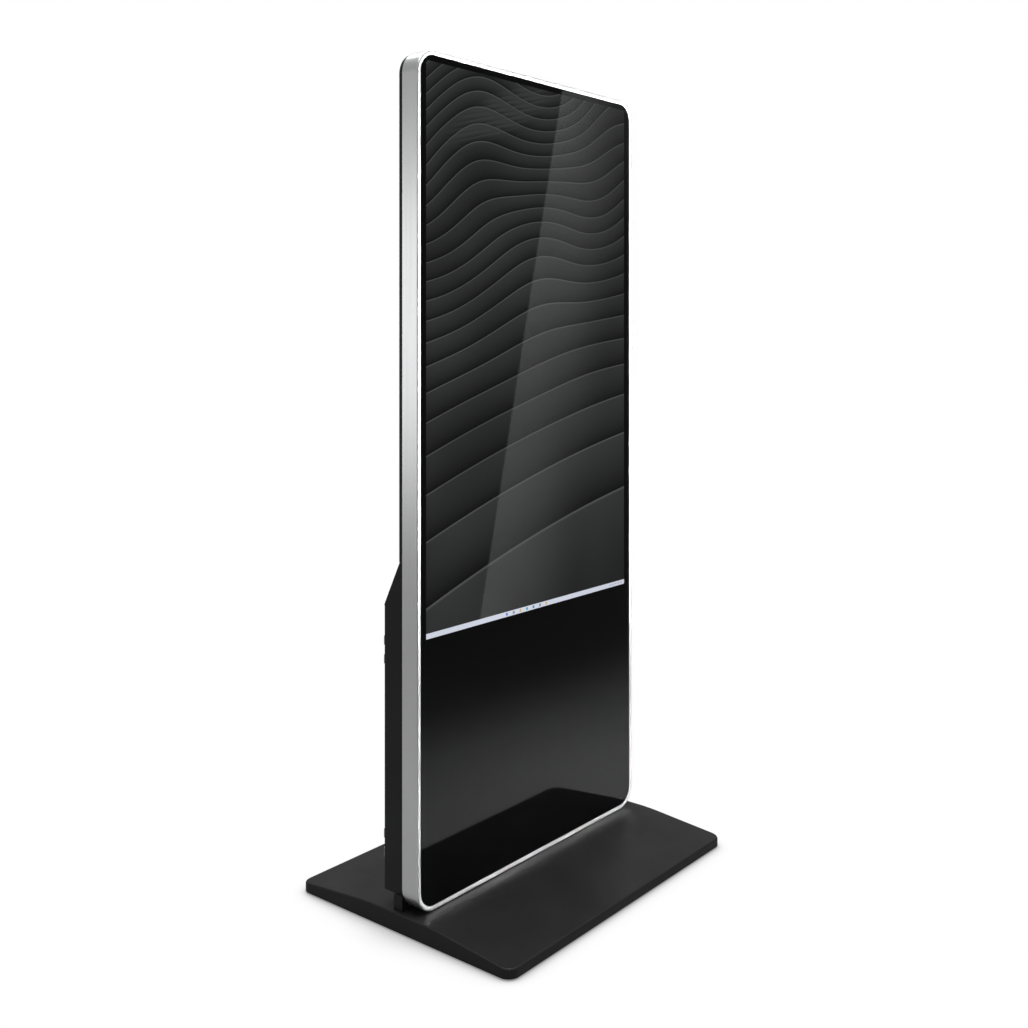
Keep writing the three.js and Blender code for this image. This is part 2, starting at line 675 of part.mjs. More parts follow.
function buildFoot() {
  const block = (inset) => {
    const half = BASE_LENGTH / 2 - inset;
    const profile = sideSlab(footProfile(inset), -half, half, 6);
    const plan = roundedRectangle(2 * half, BASE_DEPTH - 2 * inset, BASE_CORNER - inset);
    return common(profile, planSlab(plan, -1, BASE_TOP + 1, 6));
  };
  const postHoles = [-POST_X, POST_X].map((x) => {
    const reach = POST_WIDTH / 2 + 0.5;
    return boxBetween(x - reach, x + reach, -0.5, POST_DEPTH + 0.5, 30, BASE_TOP + 2);
  });
  addPiece("base_cover", cut(block(0), block(BASE_SKIN), ...postHoles), baseCoat);

  const margin = BASE_SKIN + 1;
  const plateOutline = roundedRectangle(
    BASE_LENGTH - 2 * margin, BASE_DEPTH - 2 * margin, BASE_CORNER - margin,
  );
  addPiece("base_plate", planSlab(plateOutline, PLATE_BOTTOM, PLATE_TOP, 6), zincSteel);
  for (const [side, y0, y1] of [["front", -200, -30], ["rear", 40, 200]]) {
    const slab = boxBetween(-330, 330, y0, y1, PLATE_TOP + GAP, PLATE_TOP + 10);
    addPiece(`ballast_${side}`, slab, zincSteel);
  }
  for (const [row, y] of [["front", -FOOT_Y], ["rear", FOOT_Y]]) {
    for (const [side, x] of [["left", -FOOT_X], ["right", FOOT_X]]) {
      const padProfile = [
        [0, 0],
        [FOOT_RADIUS - 2, 0],
        [FOOT_RADIUS, 2],
        [FOOT_RADIUS - 3, PLATE_BOTTOM - GAP],
        [0, PLATE_BOTTOM - GAP],
      ].map(([r, z]) => new THREE.Vector2(r, z));
      const pad = new THREE.LatheGeometry(padProfile, 24).rotateX(Math.PI / 2);
      addPiece(`foot_pad_${row}_${side}`, pad, rubber, [x, y, 0]);
    }
  }
}

function buildNeck() {
  const half = NECK_WIDTH / 2;
  const bar = boxBetween(
    -half, half, FRAME_BACK + GAP, NECK_BACK, BASE_TOP + GAP, HOUSING_BOTTOM - GAP,
  );
  const slots = [-POST_X, POST_X].map((x) => {
    const reach = POST_WIDTH / 2 + 0.5;
    return boxBetween(x - reach, x + reach, -0.5, POST_DEPTH + 0.5, 0, HOUSING_BOTTOM + 9);
  });
  addPiece("neck_bar", cut(bar, ...slots), blackCoat);
}

buildDisplayStack();
buildFrame();
buildRearCover();
buildChassis();
buildHousing();
buildDoor();
buildConnectors();
buildMediaPlayer();
buildPowerSupply();
buildBoards();
buildSpeakers();
buildFan();
buildLeads();
buildFoot();
buildNeck();

export default kiosk;
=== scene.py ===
"""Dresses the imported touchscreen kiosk: fine meshes, finishes, fasteners, picture and studio.

Everything is in metres in the kiosk's own frame: +Z up, the glass facing -Y, the origin on the
floor under the middle of the foot.
"""
from __future__ import annotations

import json
import logging
import math
import random
from collections.abc import Callable, Iterable, Sequence
from dataclasses import dataclass
from enum import Enum

import bmesh
import bpy
from mathutils import Matrix, Vector


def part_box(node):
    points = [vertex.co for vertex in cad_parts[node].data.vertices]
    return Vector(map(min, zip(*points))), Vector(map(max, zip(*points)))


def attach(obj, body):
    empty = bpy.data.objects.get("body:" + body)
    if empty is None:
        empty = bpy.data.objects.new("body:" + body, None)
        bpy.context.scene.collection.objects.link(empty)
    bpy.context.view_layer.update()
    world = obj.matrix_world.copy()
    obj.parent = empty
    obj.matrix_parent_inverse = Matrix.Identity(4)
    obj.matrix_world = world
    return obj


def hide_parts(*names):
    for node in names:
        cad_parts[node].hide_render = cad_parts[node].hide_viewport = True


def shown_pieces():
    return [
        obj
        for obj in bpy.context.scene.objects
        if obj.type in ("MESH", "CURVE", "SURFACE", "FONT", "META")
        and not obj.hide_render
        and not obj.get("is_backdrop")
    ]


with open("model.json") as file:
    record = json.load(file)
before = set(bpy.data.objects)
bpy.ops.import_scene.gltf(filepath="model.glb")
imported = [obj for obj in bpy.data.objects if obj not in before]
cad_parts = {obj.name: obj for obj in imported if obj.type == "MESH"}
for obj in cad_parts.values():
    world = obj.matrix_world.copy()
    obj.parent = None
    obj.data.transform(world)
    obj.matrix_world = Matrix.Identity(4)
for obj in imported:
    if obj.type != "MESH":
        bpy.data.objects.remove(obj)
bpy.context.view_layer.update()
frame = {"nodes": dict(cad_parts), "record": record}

LOG = logging.getLogger("kiosk")
MM = 0.001
ROOT = "kiosk"
PANEL_BORDER = 5.5 * MM
TINY = 1e-5
SMOOTH_DEGREES = 32.0

Colour = tuple[float, float, float]
Point2 = tuple[float, float]


class Side(Enum):
    """The two ends of the kiosk, seen from the front."""

    LEFT = -1
    RIGHT = 1


# --------------------------------------------------------------------------------------------
# Shader building
# --------------------------------------------------------------------------------------------


class Wiring:
    """Adds nodes to one node tree and joins their sockets."""

    def __init__(self, tree: bpy.types.NodeTree) -> None:
        """Keep the tree.

        Args:
            tree: the material's or group's node tree.
        """
        self.tree = tree

    def node(self, kind: str, **settings: object) -> bpy.types.Node:
        """Add a node and set its properties.

        Args:
            kind: the node's type name.
            settings: property names and their values.

        Returns:
            The new node.
        """
        made = self.tree.nodes.new(kind)
        for key, value in settings.items():
            setattr(made, key, value)
        return made

    def feed(self, socket: bpy.types.NodeSocket, value: object) -> None:
        """Link an output into a socket, or set the socket's own value.

        Args:
            socket: the input to fill.
            value: an output socket, a number, a vector or a colour.
        """
        if isinstance(value, bpy.types.NodeSocket):
            self.tree.links.new(value, socket)
        else:
            socket.default_value = value

    def math(self, operation: str, *values: object, clamp: bool = False) -> bpy.types.NodeSocket:
        """Add a Math node.

        Args:
            operation: the Math node's operation.
            values: its inputs in order, numbers or sockets.
            clamp: whether the result stays between 0 and 1.

        Returns:
            The result socket.
        """
        made = self.node("ShaderNodeMath", operation=operation, use_clamp=clamp)
        for socket, value in zip(made.inputs, values):
            self.feed(socket, value)
        return made.outputs[0]

    def mix(self, factor: object, low: object, high: object) -> bpy.types.NodeSocket:
        """Blend two colours.

        Args:
            factor: 0 gives low and 1 gives high.
            low: a colour or socket.
            high: a colour or socket.

        Returns:
            The colour socket.
        """
        made = self.node("ShaderNodeMix", data_type="RGBA")
        self.feed(made.inputs[0], factor)
        self.feed(made.inputs[6], low)
        self.feed(made.inputs[7], high)
        return made.outputs[2]

    def span(
        self, value: object, low: float, high: float, a: float, b: float
    ) -> bpy.types.NodeSocket:
        """Map a value smoothly from one span to another.

        Args:
            value: the value or socket to map.
            low: where the source span starts.
            high: where it ends.
            a: the result at low.
            b: the result at high.

        Returns:
            The mapped socket.
        """
        made = self.node("ShaderNodeMapRange", interpolation_type="SMOOTHSTEP")
        for index, item in enumerate((value, low, high, a, b)):
            self.feed(made.inputs[index], item)
        return made.outputs[0]

    def object_axes(self) -> tuple[bpy.types.NodeSocket, bpy.types.NodeSocket]:
        """Give object coordinates and their separated axes.

        Returns:
            The vector socket, and the Separate XYZ node's outputs.
        """
        place = self.node("ShaderNodeTexCoord").outputs["Object"]
        split = self.node("ShaderNodeSeparateXYZ")
        self.tree.links.new(place, split.inputs[0])
        return place, split.outputs

    def noise(
        self, place: bpy.types.NodeSocket, scale: object, detail: float = 3.0
    ) -> bpy.types.NodeSocket:
        """Add a noise texture.

        Args:
            place: the coordinates.
            scale: features per metre, a number or socket.
            detail: how many finer octaves it holds.

        Returns:
            The noise value socket.
        """
        made = self.node("ShaderNodeTexNoise")
        self.feed(made.inputs["Vector"], place)
        self.feed(made.inputs["Scale"], scale)
        self.feed(made.inputs["Detail"], detail)
        return made.outputs[0]

    def mix_shaders(self, factor: object, low: object, high: object) -> bpy.types.NodeSocket:
        """Blend two shaders.

        Args:
            factor: 0 gives low and 1 gives high.
            low: a shader's output.
            high: a shader's output.

        Returns:
            The blended shader's output.
        """
        made = self.node("ShaderNodeMixShader")
        for socket, value in zip(made.inputs, (factor, low, high)):
            self.feed(socket, value)
        return made.outputs[0]


class Effects:
    """Node groups that more than one finish places, each built once."""

    def __init__(self) -> None:
        """Build every group."""
        self.grain = self._grain()
        self.streaks = self._streaks()
        self.edges = self._edges()
        self.film = self._film()
        self.ridges = self._ridges()

    @staticmethod
    def _open(
        name: str, inputs: dict[str, float], outputs: dict[str, str]
    ) -> tuple[Wiring, dict, dict]:
        """Start a group with named sockets.

        Args:
            name: the group's name.
            inputs: each number input and its default.
            outputs: each output and its socket type.

        Returns:
            The group's wiring, its input sockets by name and its output sockets by name.
        """
        tree = bpy.data.node_groups.new(name, "ShaderNodeTree")
        for label, default in inputs.items():
            socket = tree.interface.new_socket(label, in_out="INPUT", socket_type="NodeSocketFloat")
            socket.default_value = default
        for label, kind in outputs.items():
            tree.interface.new_socket(label, in_out="OUTPUT", socket_type=kind)
        wiring = Wiring(tree)
        source = wiring.node("NodeGroupInput")
        sink = wiring.node("NodeGroupOutput")
        given = {label: source.outputs[label] for label in inputs}
        wanted = {label: sink.inputs[label] for label in outputs}
        return wiring, given, wanted

    def place(self, wiring: Wiring, tree: bpy.types.NodeTree, **values: float) -> dict:
        """Put a group into a material.

        Args:
            wiring: the material's wiring.
            tree: the group.
            values: its input values, with spaces in socket names written as underscores.

        Returns:
            The group node's outputs by name.
        """
        made = wiring.node("ShaderNodeGroup", node_tree=tree)
        for key, value in values.items():
            made.inputs[key.replace("_", " ")].default_value = value
        return {socket.name: socket for socket in made.outputs}

    def _grain(self) -> bpy.types.NodeTree:
        """Fine orange peel with slow mottling, for coats and moulded parts.

        Returns:
            The node group.
        """
        names = {"Scale": 900.0, "Mottle Scale": 9.0}
        wiring, given, wanted = self._open(
            "fine grain", names, {"Height": "NodeSocketFloat", "Mottle": "NodeSocketFloat"}
        )
        place, _ = wiring.object_axes()
        fine = wiring.noise(place, given["Scale"], 2.0)
        coarse = wiring.noise(place, wiring.math("MULTIPLY", given["Scale"], 0.31), 1.0)
        height = wiring.math("ADD", fine, wiring.math("MULTIPLY", coarse, 0.6))
        wiring.feed(wanted["Height"], height)
        wiring.feed(wanted["Mottle"], wiring.noise(place, given["Mottle Scale"], 4.0))
        return wiring.tree

    def _streaks(self) -> bpy.types.NodeTree:
        """Long drawn lines along the height, for anodised and brushed metal.

        Returns:
            The node group.
        """
        wiring, given, wanted = self._open(
            "drawn lines", {"Across": 1400.0, "Along": 3.0}, {"Line": "NodeSocketFloat"}
        )
        _, axes = wiring.object_axes()
        join = wiring.node("ShaderNodeCombineXYZ")
        for index, key in enumerate(("Across", "Across", "Along")):
            wiring.feed(join.inputs[index], wiring.math("MULTIPLY", axes[index], given[key]))
        wiring.feed(wanted["Line"], wiring.noise(join.outputs[0], 1.0, 3.0))
        return wiring.tree

    def _edges(self) -> bpy.types.NodeTree:
        """A broken mask along outside edges, where a finish rubs thin.

        Returns:
            The node group.
        """
        wiring, given, wanted = self._open(
            "edge wear", {"Break Scale": 60.0, "Reach": 0.5}, {"Mask": "NodeSocketFloat"}
        )
        place, _ = wiring.object_axes()
        rounded = wiring.node("ShaderNodeBevel", samples=3)
        rounded.inputs["Radius"].default_value = 1.2 * MM
        plain = wiring.node("ShaderNodeNewGeometry").outputs["Normal"]
        turn = wiring.node("ShaderNodeVectorMath", operation="DOT_PRODUCT")
        wiring.feed(turn.inputs[0], rounded.outputs[0])
        wiring.feed(turn.inputs[1], plain)
        rim = wiring.span(turn.outputs["Value"], 0.9, 0.995, 1.0, 0.0)
        broken = wiring.span(wiring.noise(place, given["Break Scale"], 5.0), 0.42, 0.66, 0.0, 1.0)
        both = wiring.math("MULTIPLY", rim, broken)
        wiring.feed(wanted["Mask"], wiring.math("MULTIPLY", both, given["Reach"], clamp=True))
        return wiring.tree

    def _film(self) -> bpy.types.NodeTree:
        """Dust that settles on faces that look up, with wiped patches.

        Returns:
            The node group.
        """
        wiring, given, wanted = self._open(
            "settled dust", {"Amount": 0.2, "Patch Scale": 14.0}, {"Mask": "NodeSocketFloat"}
        )
        place, _ = wiring.object_axes()
        facing = wiring.node("ShaderNodeSeparateXYZ")
        normal = wiring.node("ShaderNodeNewGeometry").outputs["Normal"]
        wiring.feed(facing.inputs[0], normal)
        up = wiring.span(facing.outputs[2], 0.2, 0.95, 0.03, 1.0)
        patch = wiring.span(wiring.noise(place, given["Patch Scale"], 6.0), 0.3, 0.75, 0.2, 1.0)
        both = wiring.math("MULTIPLY", up, patch)
        wiring.feed(wanted["Mask"], wiring.math("MULTIPLY", both, given["Amount"], clamp=True))
        return wiring.tree

    def _ridges(self) -> bpy.types.NodeTree:
        """The abstract picture: dark folds that rise to the right and widen downwards.

        Returns:
            The node group.
        """
        names = {
            "Bottom": 0.62, "Width": 0.734, "Rise": 0.185, "First Rows": 3.85, "More Rows": 12.5
        }
        wiring, given, wanted = self._open(
            "folded ridges", names, {"Shade": "NodeSocketFloat", "Crest": "NodeSocketFloat"}
        )
        place, axes = wiring.object_axes()
        calc = wiring.math
        across = calc("ADD", calc("DIVIDE", axes[0], given["Width"]), 0.5)
        up = calc("SUBTRACT", axes[2], given["Bottom"])
        arch = calc("MULTIPLY", across, calc("MULTIPLY_ADD", across, -0.36, 1.36))
        high = wiring.span(up, 0.42, 1.1, 0.0, 1.0)
        lift = calc("MULTIPLY_ADD", up, 5.0, -2.3)
        long_wave = calc("SINE", calc("ADD", calc("MULTIPLY", across, 6.6), lift))
        fall = calc("MULTIPLY", up, -9.0)
        short_wave = calc("SINE", calc("ADD", calc("MULTIPLY", across, 11.0), fall))
        wander = calc("SUBTRACT", wiring.noise(place, 2.2, 1.0), 0.5)
        waves = calc("ADD", calc("MULTIPLY", long_wave, 0.042), calc("MULTIPLY", short_wave, 0.014))
        waves = calc("MULTIPLY", calc("ADD", waves, calc("MULTIPLY", wander, 0.10)), high)
        level = calc("ADD", calc("SUBTRACT", up, calc("MULTIPLY", arch, given["Rise"])), waves)
        level = calc("MAXIMUM", level, -0.15)
        slope = calc("MULTIPLY_ADD", level, given["More Rows"], given["First Rows"])
        count = calc("SUBTRACT", calc("MULTIPLY", level, slope), 0.3)
        inside = calc("FRACT", count)
        gap = calc("DIVIDE", 1.0, calc("ADD", slope, calc("MULTIPLY", level, given["More Rows"])))
        below = calc("MULTIPLY", calc("SUBTRACT", 1.0, inside), gap)
        line = calc("DIVIDE", below, calc("MULTIPLY_ADD", gap, 0.035, 0.0020))
        crest = wiring.span(line, 0.0, 1.0, 1.0, 0.0)
        shade = calc("POWER", inside, 0.62)
        broad = wiring.span(wiring.noise(place, 2.6, 1.5), 0.25, 0.75, 0.55, 1.0)
        shade = calc("MULTIPLY", shade, broad)
        patch = wiring.node("ShaderNodeMapping", vector_type="TEXTURE")
        wiring.feed(patch.inputs["Vector"], place)
        patch.inputs["Location"].default_value = (-0.12, 0.0, 1.745)
        patch.inputs["Rotation"].default_value = (0.0, math.radians(-24), 0.0)
        patch.inputs["Scale"].default_value = (0.24, 10.0, 0.055)
        reach = wiring.node("ShaderNodeVectorMath", operation="LENGTH")
        wiring.feed(reach.inputs[0], patch.outputs[0])
        lens = wiring.span(reach.outputs["Value"], 0.35, 1.0, 1.0, 0.0)
        local = wiring.node("ShaderNodeSeparateXYZ")
        wiring.feed(local.inputs[0], patch.outputs[0])
        lean = calc("MULTIPLY", local.outputs[0], 3.0)
        hatch = calc("FRACT", calc("ADD", calc("MULTIPLY", local.outputs[2], 4.5), lean))
        shade = calc("ADD", shade, calc("MULTIPLY", lens, calc("MULTIPLY_ADD", hatch, 0.7, 0.15)))
        wiring.feed(wanted["Shade"], shade)
        wiring.feed(wanted["Crest"], calc("MULTIPLY", crest, broad))
        return wiring.tree


def bare_material(name: str) -> tuple[bpy.types.Material, Wiring]:
    """Start a material with an empty tree.

    Args:
        name: the material's name.

    Returns:
        The material and its wiring.
    """
    material = bpy.data.materials.new(name)
    material.use_nodes = True
    material.node_tree.nodes.clear()
    return material, Wiring(material.node_tree)


def open_material(name: str) -> tuple[bpy.types.Material, Wiring, bpy.types.Node]:
    """Start a material with an empty tree, a Principled shader and its output.

    Args:
        name: the material's name.

    Returns:
        The material, its wiring and the Principled node.
    """
    material, wiring = bare_material(name)
    shader = wiring.node("ShaderNodeBsdfPrincipled")
    sink = wiring.node("ShaderNodeOutputMaterial")
    wiring.feed(sink.inputs["Surface"], shader.outputs[0])
    return material, wiring, shader


def add_bump(
    wiring: Wiring, shader: bpy.types.Node, height: object, strength: float, depth: float
) -> None:
    """Turn a height into the shader's normal.

    Args:
        wiring: the material's wiring.
        shader: the Principled node.
        height: the height socket.
        strength: how strongly it shows.
        depth: the relief's depth in metres.
    """
    bump = wiring.node("ShaderNodeBump")
    bump.inputs["Strength"].default_value = strength
    bump.inputs["Distance"].default_value = depth
    wiring.feed(bump.inputs["Height"], height)
    wiring.feed(shader.inputs["Normal"], bump.outputs[0])


def shaded(colour: Colour, share: float) -> tuple[float, float, float, float]:
    """Give a colour scaled by a share, at full alpha."""
    return opaque(tuple(share * part for part in colour))


def opaque(colour: Colour) -> tuple[float, float, float, float]:
    """Give a colour full alpha."""
    return (*colour, 1.0)


@dataclass(frozen=True)
class Coat:
    """A baked powder coat, paint, moulded plastic or rubber."""

    name: str
    colour: Colour
    roughness: float = 0.45
    spread: float = 0.12
    grain: float = 900.0
    depth: float = 0.00004
    wear: float = 0.0
    worn: Colour = (0.2, 0.2, 0.2)
    dust: float = 0.12
    gloss_coat: float = 0.0
    metallic: float = 0.0
    specular: float = 0.5

    def build(self, effects: Effects) -> bpy.types.Material:
        """Make the material.

        Args:
            effects: the shared node groups.

        Returns:
            The material.
        """
        material, wiring, shader = open_material(self.name)
        grain = effects.place(wiring, effects.grain, Scale=self.grain)
        film = effects.place(wiring, effects.film, Amount=self.dust)
        edge = effects.place(wiring, effects.edges, Reach=self.wear)
        body = wiring.mix(grain["Mottle"], opaque(self.colour), shaded(self.colour, 0.82))
        body = wiring.mix(edge["Mask"], body, opaque(self.worn))
        body = wiring.mix(film["Mask"], body, (0.10, 0.098, 0.095, 1.0))
        wiring.feed(shader.inputs["Base Color"], body)
        low, high = self.roughness - self.spread / 2, self.roughness + self.spread / 2
        rough = wiring.span(grain["Mottle"], 0.25, 0.75, low, high)
        dull = wiring.math("MULTIPLY", film["Mask"], 0.4)
        wiring.feed(shader.inputs["Roughness"], wiring.math("ADD", rough, dull))
        shader.inputs["Metallic"].default_value = self.metallic
        shader.inputs["Specular IOR Level"].default_value = self.specular
        shader.inputs["Coat Weight"].default_value = self.gloss_coat
        shader.inputs["Coat Roughness"].default_value = 0.12
        add_bump(wiring, shader, grain["Height"], 0.35, self.depth)
        return material


@dataclass(frozen=True)
class Metal:
    """Bare, plated or anodised metal with drawn lines."""

    name: str
    colour: Colour
    roughness: float = 0.3
    line: float = 0.1
    across: float = 1400.0
    depth: float = 0.00001
    wear: float = 0.0
    dust: float = 0.05

    def build(self, effects: Effects) -> bpy.types.Material:
        """Make the material.

        Args:
            effects: the shared node groups.

        Returns:
            The material.
        """
        material, wiring, shader = open_material(self.name)
        line = effects.place(wiring, effects.streaks, Across=self.across)
        grain = effects.place(wiring, effects.grain, Scale=700.0, Mottle_Scale=5.0)
        film = effects.place(wiring, effects.film, Amount=self.dust)
        edge = effects.place(wiring, effects.edges, Reach=self.wear)
        body = wiring.mix(grain["Mottle"], opaque(self.colour), shaded(self.colour, 0.86))
        body = wiring.mix(edge["Mask"], body, (0.9, 0.9, 0.9, 1.0))
        body = wiring.mix(film["Mask"], body, (0.4, 0.39, 0.37, 1.0))
        wiring.feed(shader.inputs["Base Color"], body)
        shader.inputs["Metallic"].default_value = 1.0
        low, high = self.roughness - self.line, self.roughness + self.line
        drawn = wiring.span(line["Line"], 0.2, 0.8, low, high)
        dull = wiring.math("MULTIPLY", film["Mask"], 0.5)
        wiring.feed(shader.inputs["Roughness"], wiring.math("ADD", drawn, dull))
        add_bump(wiring, shader, line["Line"], 0.25, self.depth)
        return material


@dataclass(frozen=True)
class ClearGlass:
    """Polished toughened glass with faint wiped smears."""

    name: str = "toughened_glass"
    tint: Colour = (0.93, 0.95, 0.95)

    def build(self, effects: Effects) -> bpy.types.Material:
        """Make the material.

        Args:
            effects: the shared node groups.

        Returns:
            The material.
        """
        material, wiring, shader = open_material(self.name)
        grain = effects.place(wiring, effects.grain, Scale=40.0, Mottle_Scale=3.0)
        body = wiring.mix(grain["Mottle"], opaque(self.tint), shaded(self.tint, 0.98))
        wiring.feed(shader.inputs["Base Color"], body)
        smears = wiring.span(grain["Mottle"], 0.35, 0.8, 0.0, 0.006)
        wiring.feed(shader.inputs["Roughness"], smears)
        shader.inputs["IOR"].default_value = 1.5
        shader.inputs["Transmission Weight"].default_value = 1.0
        return material


@dataclass(frozen=True)
class ScreenPicture:
    """The lit picture: dark folded ridges with thin light crests."""

    name: str = "screen_picture"
    dark: Colour = (0.0012, 0.0012, 0.0013)
    lit: Colour = (0.042, 0.042, 0.043)
    crest: Colour = (0.105, 0.105, 0.105)

    def build(self, effects: Effects, bottom: float) -> bpy.types.Material:
        """Make the material.

        Args:
            effects: the shared node groups.
            bottom: the height of the picture's lower edge, in metres.

        Returns:
            The material.
        """
        material, wiring, shader = open_material(self.name)
        fold = effects.place(wiring, effects.ridges, Bottom=bottom)
        body = wiring.mix(fold["Shade"], opaque(self.dark), opaque(self.lit))
        glow = wiring.mix(fold["Crest"], body, opaque(self.crest))
        shader.inputs["Base Color"].default_value = (0.002, 0.002, 0.002, 1.0)
        shader.inputs["Roughness"].default_value = 0.6
        shader.inputs["Specular IOR Level"].default_value = 0.0
        wiring.feed(shader.inputs["Emission Color"], glow)
        shader.inputs["Emission Strength"].default_value = 1.0
        return material


@dataclass(frozen=True)
class Lamp:
    """A small lit mark or lens with a faint grain."""

    name: str
    colour: Colour
    strength: float = 1.0

    def build(self, effects: Effects) -> bpy.types.Material:
        """Make the material.

        Args:
            effects: the shared node groups.

        Returns:
            The material.
        """
        material, wiring, shader = open_material(self.name)
        grain = effects.place(wiring, effects.grain, Scale=500.0, Mottle_Scale=20.0)
        glow = wiring.mix(grain["Mottle"], opaque(self.colour), shaded(self.colour, 0.9))
        wiring.feed(shader.inputs["Emission Color"], glow)
        shader.inputs["Emission Strength"].default_value = self.strength
        shader.inputs["Base Color"].default_value = (0.02, 0.02, 0.02, 1.0)
        return material


class Finishes:
    """Every finish on the kiosk, each made once."""

    def __init__(self, effects: Effects, picture_bottom: float) -> None:
        """Build the materials.

        Args:
            effects: the shared node groups.
            picture_bottom: the height of the screen picture's lower edge.
        """
        self.by_slot: dict[str, bpy.types.Material] = {}
        recipes: dict[str, Coat | Metal | ClearGlass] = {
            "screen_glass": ClearGlass(),
            "glass_print": Coat(
                "black_glass_print", (0.004, 0.004, 0.0045), 0.5, dust=0.0, specular=0.0
            ),
            "touch_film": Coat("touch_film", (0.01, 0.01, 0.011), 0.4, dust=0.0, specular=0.0),
            "display_module": Metal("display_pan", (0.32, 0.33, 0.34), 0.42, 0.08, 500.0),
            "anodised_frame": Metal(
                "satin_anodised", (0.83, 0.835, 0.84), 0.33, 0.05, 1800.0, dust=0.02
            ),
            "black_sheet": Coat(
                "black_powder_coat", (0.008, 0.008, 0.0085), 0.44,
                wear=0.25, dust=0.08, specular=0.28,
            ),
            "foot_coat": Coat(
                "foot_satin_coat", (0.0195, 0.0195, 0.02), 0.4,
                grain=1100.0, wear=0.2, dust=0.06, specular=0.2,
            ),
            "zinc_steel": Metal("zinc_plate", (0.52, 0.53, 0.52), 0.42, 0.14, 300.0, dust=0.2),
            "hinge_steel": Metal("hinge_plate", (0.30, 0.30, 0.31), 0.35, 0.1, 900.0, wear=0.3),
            "bright_fittings": Metal(
                "turned_nickel", (0.7, 0.69, 0.66), 0.2, 0.08, 2500.0, wear=0.2
            ),
            "port_shells": Metal("plated_shell", (0.62, 0.62, 0.63), 0.28, 0.08, 2200.0),
            "black_plastic": Coat(
                "moulded_black", (0.016, 0.016, 0.016), 0.5, grain=1400.0, depth=0.00006
            ),
            "red_rocker": Coat("moulded_red", (0.28, 0.012, 0.01), 0.3, grain=600.0, dust=0.05),
            "player_case": Coat(
                "black_anodised", (0.02, 0.02, 0.022), 0.38,
                metallic=0.6, wear=0.2, worn=(0.5, 0.5, 0.5),
            ),
            "supply_case": Metal(
                "galvanised_case", (0.55, 0.56, 0.57), 0.45, 0.16, 160.0, dust=0.15
            ),
            "circuit_board": Coat(
                "board_lacquer", (0.012, 0.075, 0.035), 0.32,
                grain=260.0, dust=0.1, gloss_coat=0.4,
            ),
            "lead_jacket": Coat(
                "lead_jacket", (0.012, 0.012, 0.012), 0.55, grain=1500.0, dust=0.15
            ),
            "pad_rubber": Coat(
                "foot_rubber", (0.02, 0.02, 0.02), 0.75, grain=900.0, depth=0.0001, dust=0.2
            ),
        }
        for slot_name, recipe in recipes.items():
            self.by_slot[slot_name] = recipe.build(effects)
        self.picture = ScreenPicture().build(effects, picture_bottom)
        self.bar = Lamp("task_bar_glow", (0.78, 0.80, 0.92)).build(effects)
        self.marks = [
            Lamp("mark_blue", (0.05, 0.22, 0.62)).build(effects),
            Lamp("mark_grey", (0.22, 0.24, 0.30)).build(effects),
            Lamp("mark_gold", (0.75, 0.50, 0.10)).build(effects),
            Lamp("mark_teal", (0.04, 0.35, 0.48)).build(effects),
        ]
        self.chip = Coat("chip_epoxy", (0.01, 0.01, 0.01), 0.4, grain=800.0).build(effects)
        self.gold = Metal("gold_contact", (0.8, 0.58, 0.22), 0.25).build(effects)
        paper = Coat("speaker_cone", (0.01, 0.01, 0.011), 0.7, grain=300.0, depth=0.0002)
        self.cone = paper.build(effects)


# --------------------------------------------------------------------------------------------
# Mesh building
# --------------------------------------------------------------------------------------------


def crease(shape: bmesh.types.BMesh, smooth_degrees: float) -> None:
    """Shade every face smoothly and keep the sharp edges crisp.

    Args:
        shape: the mesh.
        smooth_degrees: edges sharper than this stay crisp.
    """
    limit = math.radians(smooth_degrees)
    for face in shape.faces:
        face.smooth = True
    for edge in shape.edges:
        edge.smooth = len(edge.link_faces) == 2 and edge.calc_face_angle(0.0) < limit


def as_object(
    name: str, shape: bmesh.types.BMesh, smooth_degrees: float = SMOOTH_DEGREES
) -> bpy.types.Object:
    """Turn a finished bmesh into an object in the scene.

    Args:
        name: the object's name.
        shape: the mesh, which is freed.
        smooth_degrees: edges sharper than this stay crisp.

    Returns:
        The object.
    """
    bmesh.ops.remove_doubles(shape, verts=shape.verts, dist=1e-7)
    bmesh.ops.recalc_face_normals(shape, faces=shape.faces)
    crease(shape, smooth_degrees)
    mesh = bpy.data.meshes.new(name)
    shape.to_mesh(mesh)
    shape.free()
    made = bpy.data.objects.new(name, mesh)
    bpy.context.scene.collection.objects.link(made)
    even_shading(made)
    return made


def even_shading(piece: bpy.types.Object) -> None:
    """Let large flat faces set the normals of the roundings beside them.

    Args:
        piece: the piece.
    """
    weighting = piece.modifiers.new("even_shading", "WEIGHTED_NORMAL")
    weighting.keep_sharp = True
    weighting.weight = 100


def loft(rings: Sequence[Sequence[Vector]], close: bool = False) -> bmesh.types.BMesh:
    """Join rings of points into a skin, with its ends filled unless it closes on itself.

    Args:
        rings: closed rings with the same number of points.
        close: whether the last ring joins the first.

    Returns:
        The mesh.
    """
    shape = bmesh.new()
    rows = [[shape.verts.new(point) for point in ring] for ring in rings]
    count = len(rows[0])
    pairs = list(zip(rows, rows[1:]))
    if close:
        pairs.append((rows[-1], rows[0]))
    for low, high in pairs:
        for i in range(count):
            j = (i + 1) % count
            shape.faces.new((low[i], low[j], high[j], high[i]))
    if not close:
        shape.faces.new(list(reversed(rows[0])))
        shape.faces.new(rows[-1])
    return shape


